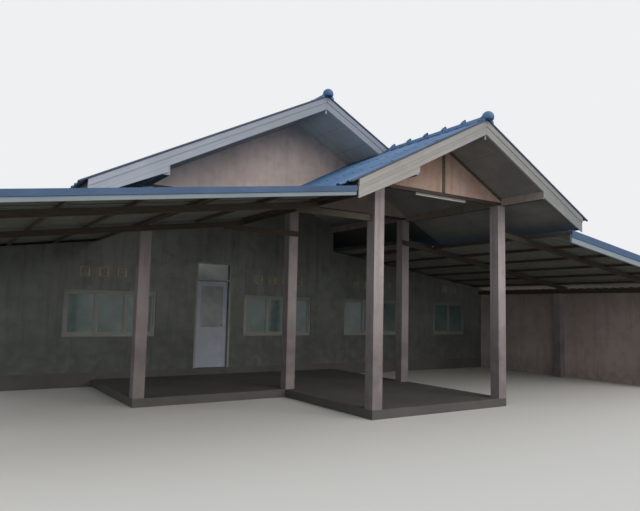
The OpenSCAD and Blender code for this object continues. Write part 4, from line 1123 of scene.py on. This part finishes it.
# %% Tube light
LIGHT_W, TRAY_H, HOLDER_L, HOLDER_H = 0.045, 0.018, 0.024, 0.030
tube_low, tube_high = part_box("tube_light")
light_l = tube_high[0] - tube_low[0]
light_at = Vector([(a + b) / 2 for a, b in zip(tube_low, tube_high)])
light_at.z = tube_high[2]
tray = begin(bpy.ops.mesh.primitive_cube_add, size=1.0, scale=(light_l, LIGHT_W, TRAY_H),
             location=light_at - Vector((0.0, 0.0, TRAY_H / 2)))
bpy.ops.object.mode_set(mode="EDIT")
pick_faces(lambda at, normal: normal.z < -0.9)
bpy.ops.mesh.inset(thickness=0.008)
bpy.ops.transform.translate(value=(0.0, 0.0, -0.004))
bpy.ops.object.mode_set(mode="OBJECT")
bevel(0.0015, 25)

holders = []
for way in (-1, 1):
    holder_at = Vector((way * (light_l - HOLDER_L) / 2, 0.0, -TRAY_H - HOLDER_H / 2))
    holder = begin(bpy.ops.mesh.primitive_cube_add, size=1.0, scale=(HOLDER_L, LIGHT_W, HOLDER_H),
                   location=light_at + holder_at)
    bpy.ops.object.mode_set(mode="EDIT")
    pick_points(lambda at: at.z < light_at.z - TRAY_H - HOLDER_H / 2)
    bpy.ops.transform.resize(value=(1.0, 0.66, 1.0), center_override=light_at)
    bpy.ops.object.mode_set(mode="OBJECT")
    bevel(0.005, segments=3)
    holders.append(holder)
hand_over(joined("light_tray", [tray] + holders), (white_enamel,), ["tube_light"])

TUBE_R, TUBE_DOWN, CAP_L = 0.013, 0.035, 0.02
tube = begin(bpy.ops.mesh.primitive_cylinder_add, vertices=24, radius=TUBE_R,
             depth=light_l - 2 * HOLDER_L - 2 * CAP_L, rotation=(0.0, math.pi / 2, 0.0),
             location=light_at - Vector((0.0, 0.0, TUBE_DOWN)))
bpy.ops.object.mode_set(mode="EDIT")
for way in (-1, 1):
    pick_faces(lambda at, normal: way * normal.x > 0.9)
    bpy.ops.mesh.inset(thickness=0.0012)
    bpy.ops.mesh.extrude_region_move(TRANSFORM_OT_translate={"value": (way * CAP_L, 0.0, 0.0)})
bpy.ops.object.mode_set(mode="OBJECT")
hand_over(joined("light_tube", [tube]), (milky_tube,), ["tube_light"])

# %% [markdown]
# Each node of the construction takes the finish of the real piece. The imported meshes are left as
# they are; only their material slots change.

# %% Finishes onto the frame's nodes
FINISHES = {
    "veranda_slab": cement_floor, "room_floor": cement_floor,
    "porch_columns": column_render, "house_columns": column_render, "wing_columns": column_render,
    "porch_plates": beam_render, "main_plates": beam_render, "tie_beams": brown_paint,
    "pediment_panels": pediment_render, "pediment_trim": olive_paint, "gable_panel": panel_render,
    "front_wall_left": wall_render, "front_wall_right": wall_render,
    "front_wall_over_door": wall_render, "rear_wall": panel_render, "side_wall_left": panel_render,
    "side_wall_right": panel_render, "clerestory_walls": panel_render,
    "main_lining": main_lining_paint, "porch_lining": porch_lining_paint,
    "roof_timbers": rough_timber, "wing_frames": rough_timber, "wing_verges": flashing_blue,
    "main_roof_left": main_blue, "main_roof_right": main_blue, "porch_roof_left": porch_blue,
    "porch_roof_right": porch_blue, "left_wing_roof": wing_blue, "right_wing_roof": wing_blue,
    "main_ridge": main_blue, "porch_ridge": porch_blue, "main_bargeboards": main_boards,
    "porch_bargeboards": porch_boards, "eaves_boards": brown_paint,
    "wing_front_rafters": wing_boards, "window_frames": frame_paint, "window_glass": window_glass,
    "wall_vents": vent_cement, "door_frame": frame_paint, "frame_hinges": satin_steel,
    "leaf_hinges": satin_steel, "door_leaf": door_paint, "door_glass": frosted_glass,
    "door_handle": satin_steel, "tube_light": white_enamel,
}
for name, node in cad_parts.items():
    node.data.materials.clear()
    node.data.materials.append(FINISHES[name])
print("nodes finished:", len(FINISHES))

# %% [markdown]
# The light is that of a bright overcast day in a studio: an even world, one wide, soft lamp from
# the right of the street, and a weak one, level with the ground, that fills the deep veranda. The
# floor and the sky look pale to the camera and in reflections; to the light itself the floor is a
# duller grey, so that the shade under the eaves stays deep.

# %% Floor, world and lamps
def seen_or_felt(owner, seen, felt):
    camera_ray = add(owner, "LightPath", "Is Camera Ray")
    rays = camera_ray.node.outputs
    mirrored = add(owner, "Math", operation="MAXIMUM", i0=rays["Is Glossy Ray"],
                   i1=rays["Is Transmission Ray"])
    either = add(owner, "Math", operation="MAXIMUM", i0=camera_ray, i1=mirrored)
    return add(owner, "MixShader", i0=either, i1=felt, i2=seen)


floor_material = empty_material("studio_floor_paper")
pale_floor = add(floor_material, "BsdfDiffuse", Color=colour("E6E6E2"))
dull_floor = add(floor_material, "BsdfDiffuse", Color=colour("6E6E6A"))
floor_shader = seen_or_felt(floor_material, seen=pale_floor, felt=dull_floor)
add(floor_material, "OutputMaterial", Surface=floor_shader)
studio_floor = begin(bpy.ops.mesh.primitive_plane_add, size=240.0, location=(0.0, 0.0, -0.002))
studio_floor.name = "studio_floor"
studio_floor.data.materials.append(floor_material)

studio_sky = bpy.data.worlds.new("studio_sky")
bpy.context.scene.world = studio_sky
studio_sky.use_nodes = True
studio_sky.node_tree.nodes.clear()
plain_sky = add(studio_sky, "Background", Color=colour("EEF0F2"))
weaker_sky = add(studio_sky, "Background", Color=colour("ECEEF2"), Strength=0.80)
sky_shader = seen_or_felt(studio_sky, seen=plain_sky, felt=weaker_sky)
add(studio_sky, "OutputWorld", Surface=sky_shader)


LAMP_WIDTH = math.radians(50)


def wide_lamp(name, energy, tone, tip, swing):
    data = bpy.data.lights.new(name, "SUN")
    data.energy, data.angle, data.color = energy, LAMP_WIDTH, colour(tone)[:3]
    lamp = bpy.data.objects.new(name, data)
    bpy.context.collection.objects.link(lamp)
    lamp.rotation_euler = (math.radians(tip), 0.0, math.radians(swing))


wide_lamp("soft_key", energy=1.05, tone="FFF6EC", tip=62, swing=16)
wide_lamp("street_fill", energy=0.16, tone="FFFFFF", tip=96, swing=-20)
bpy.context.scene.view_settings.view_transform = "Standard"
print("stage lit")
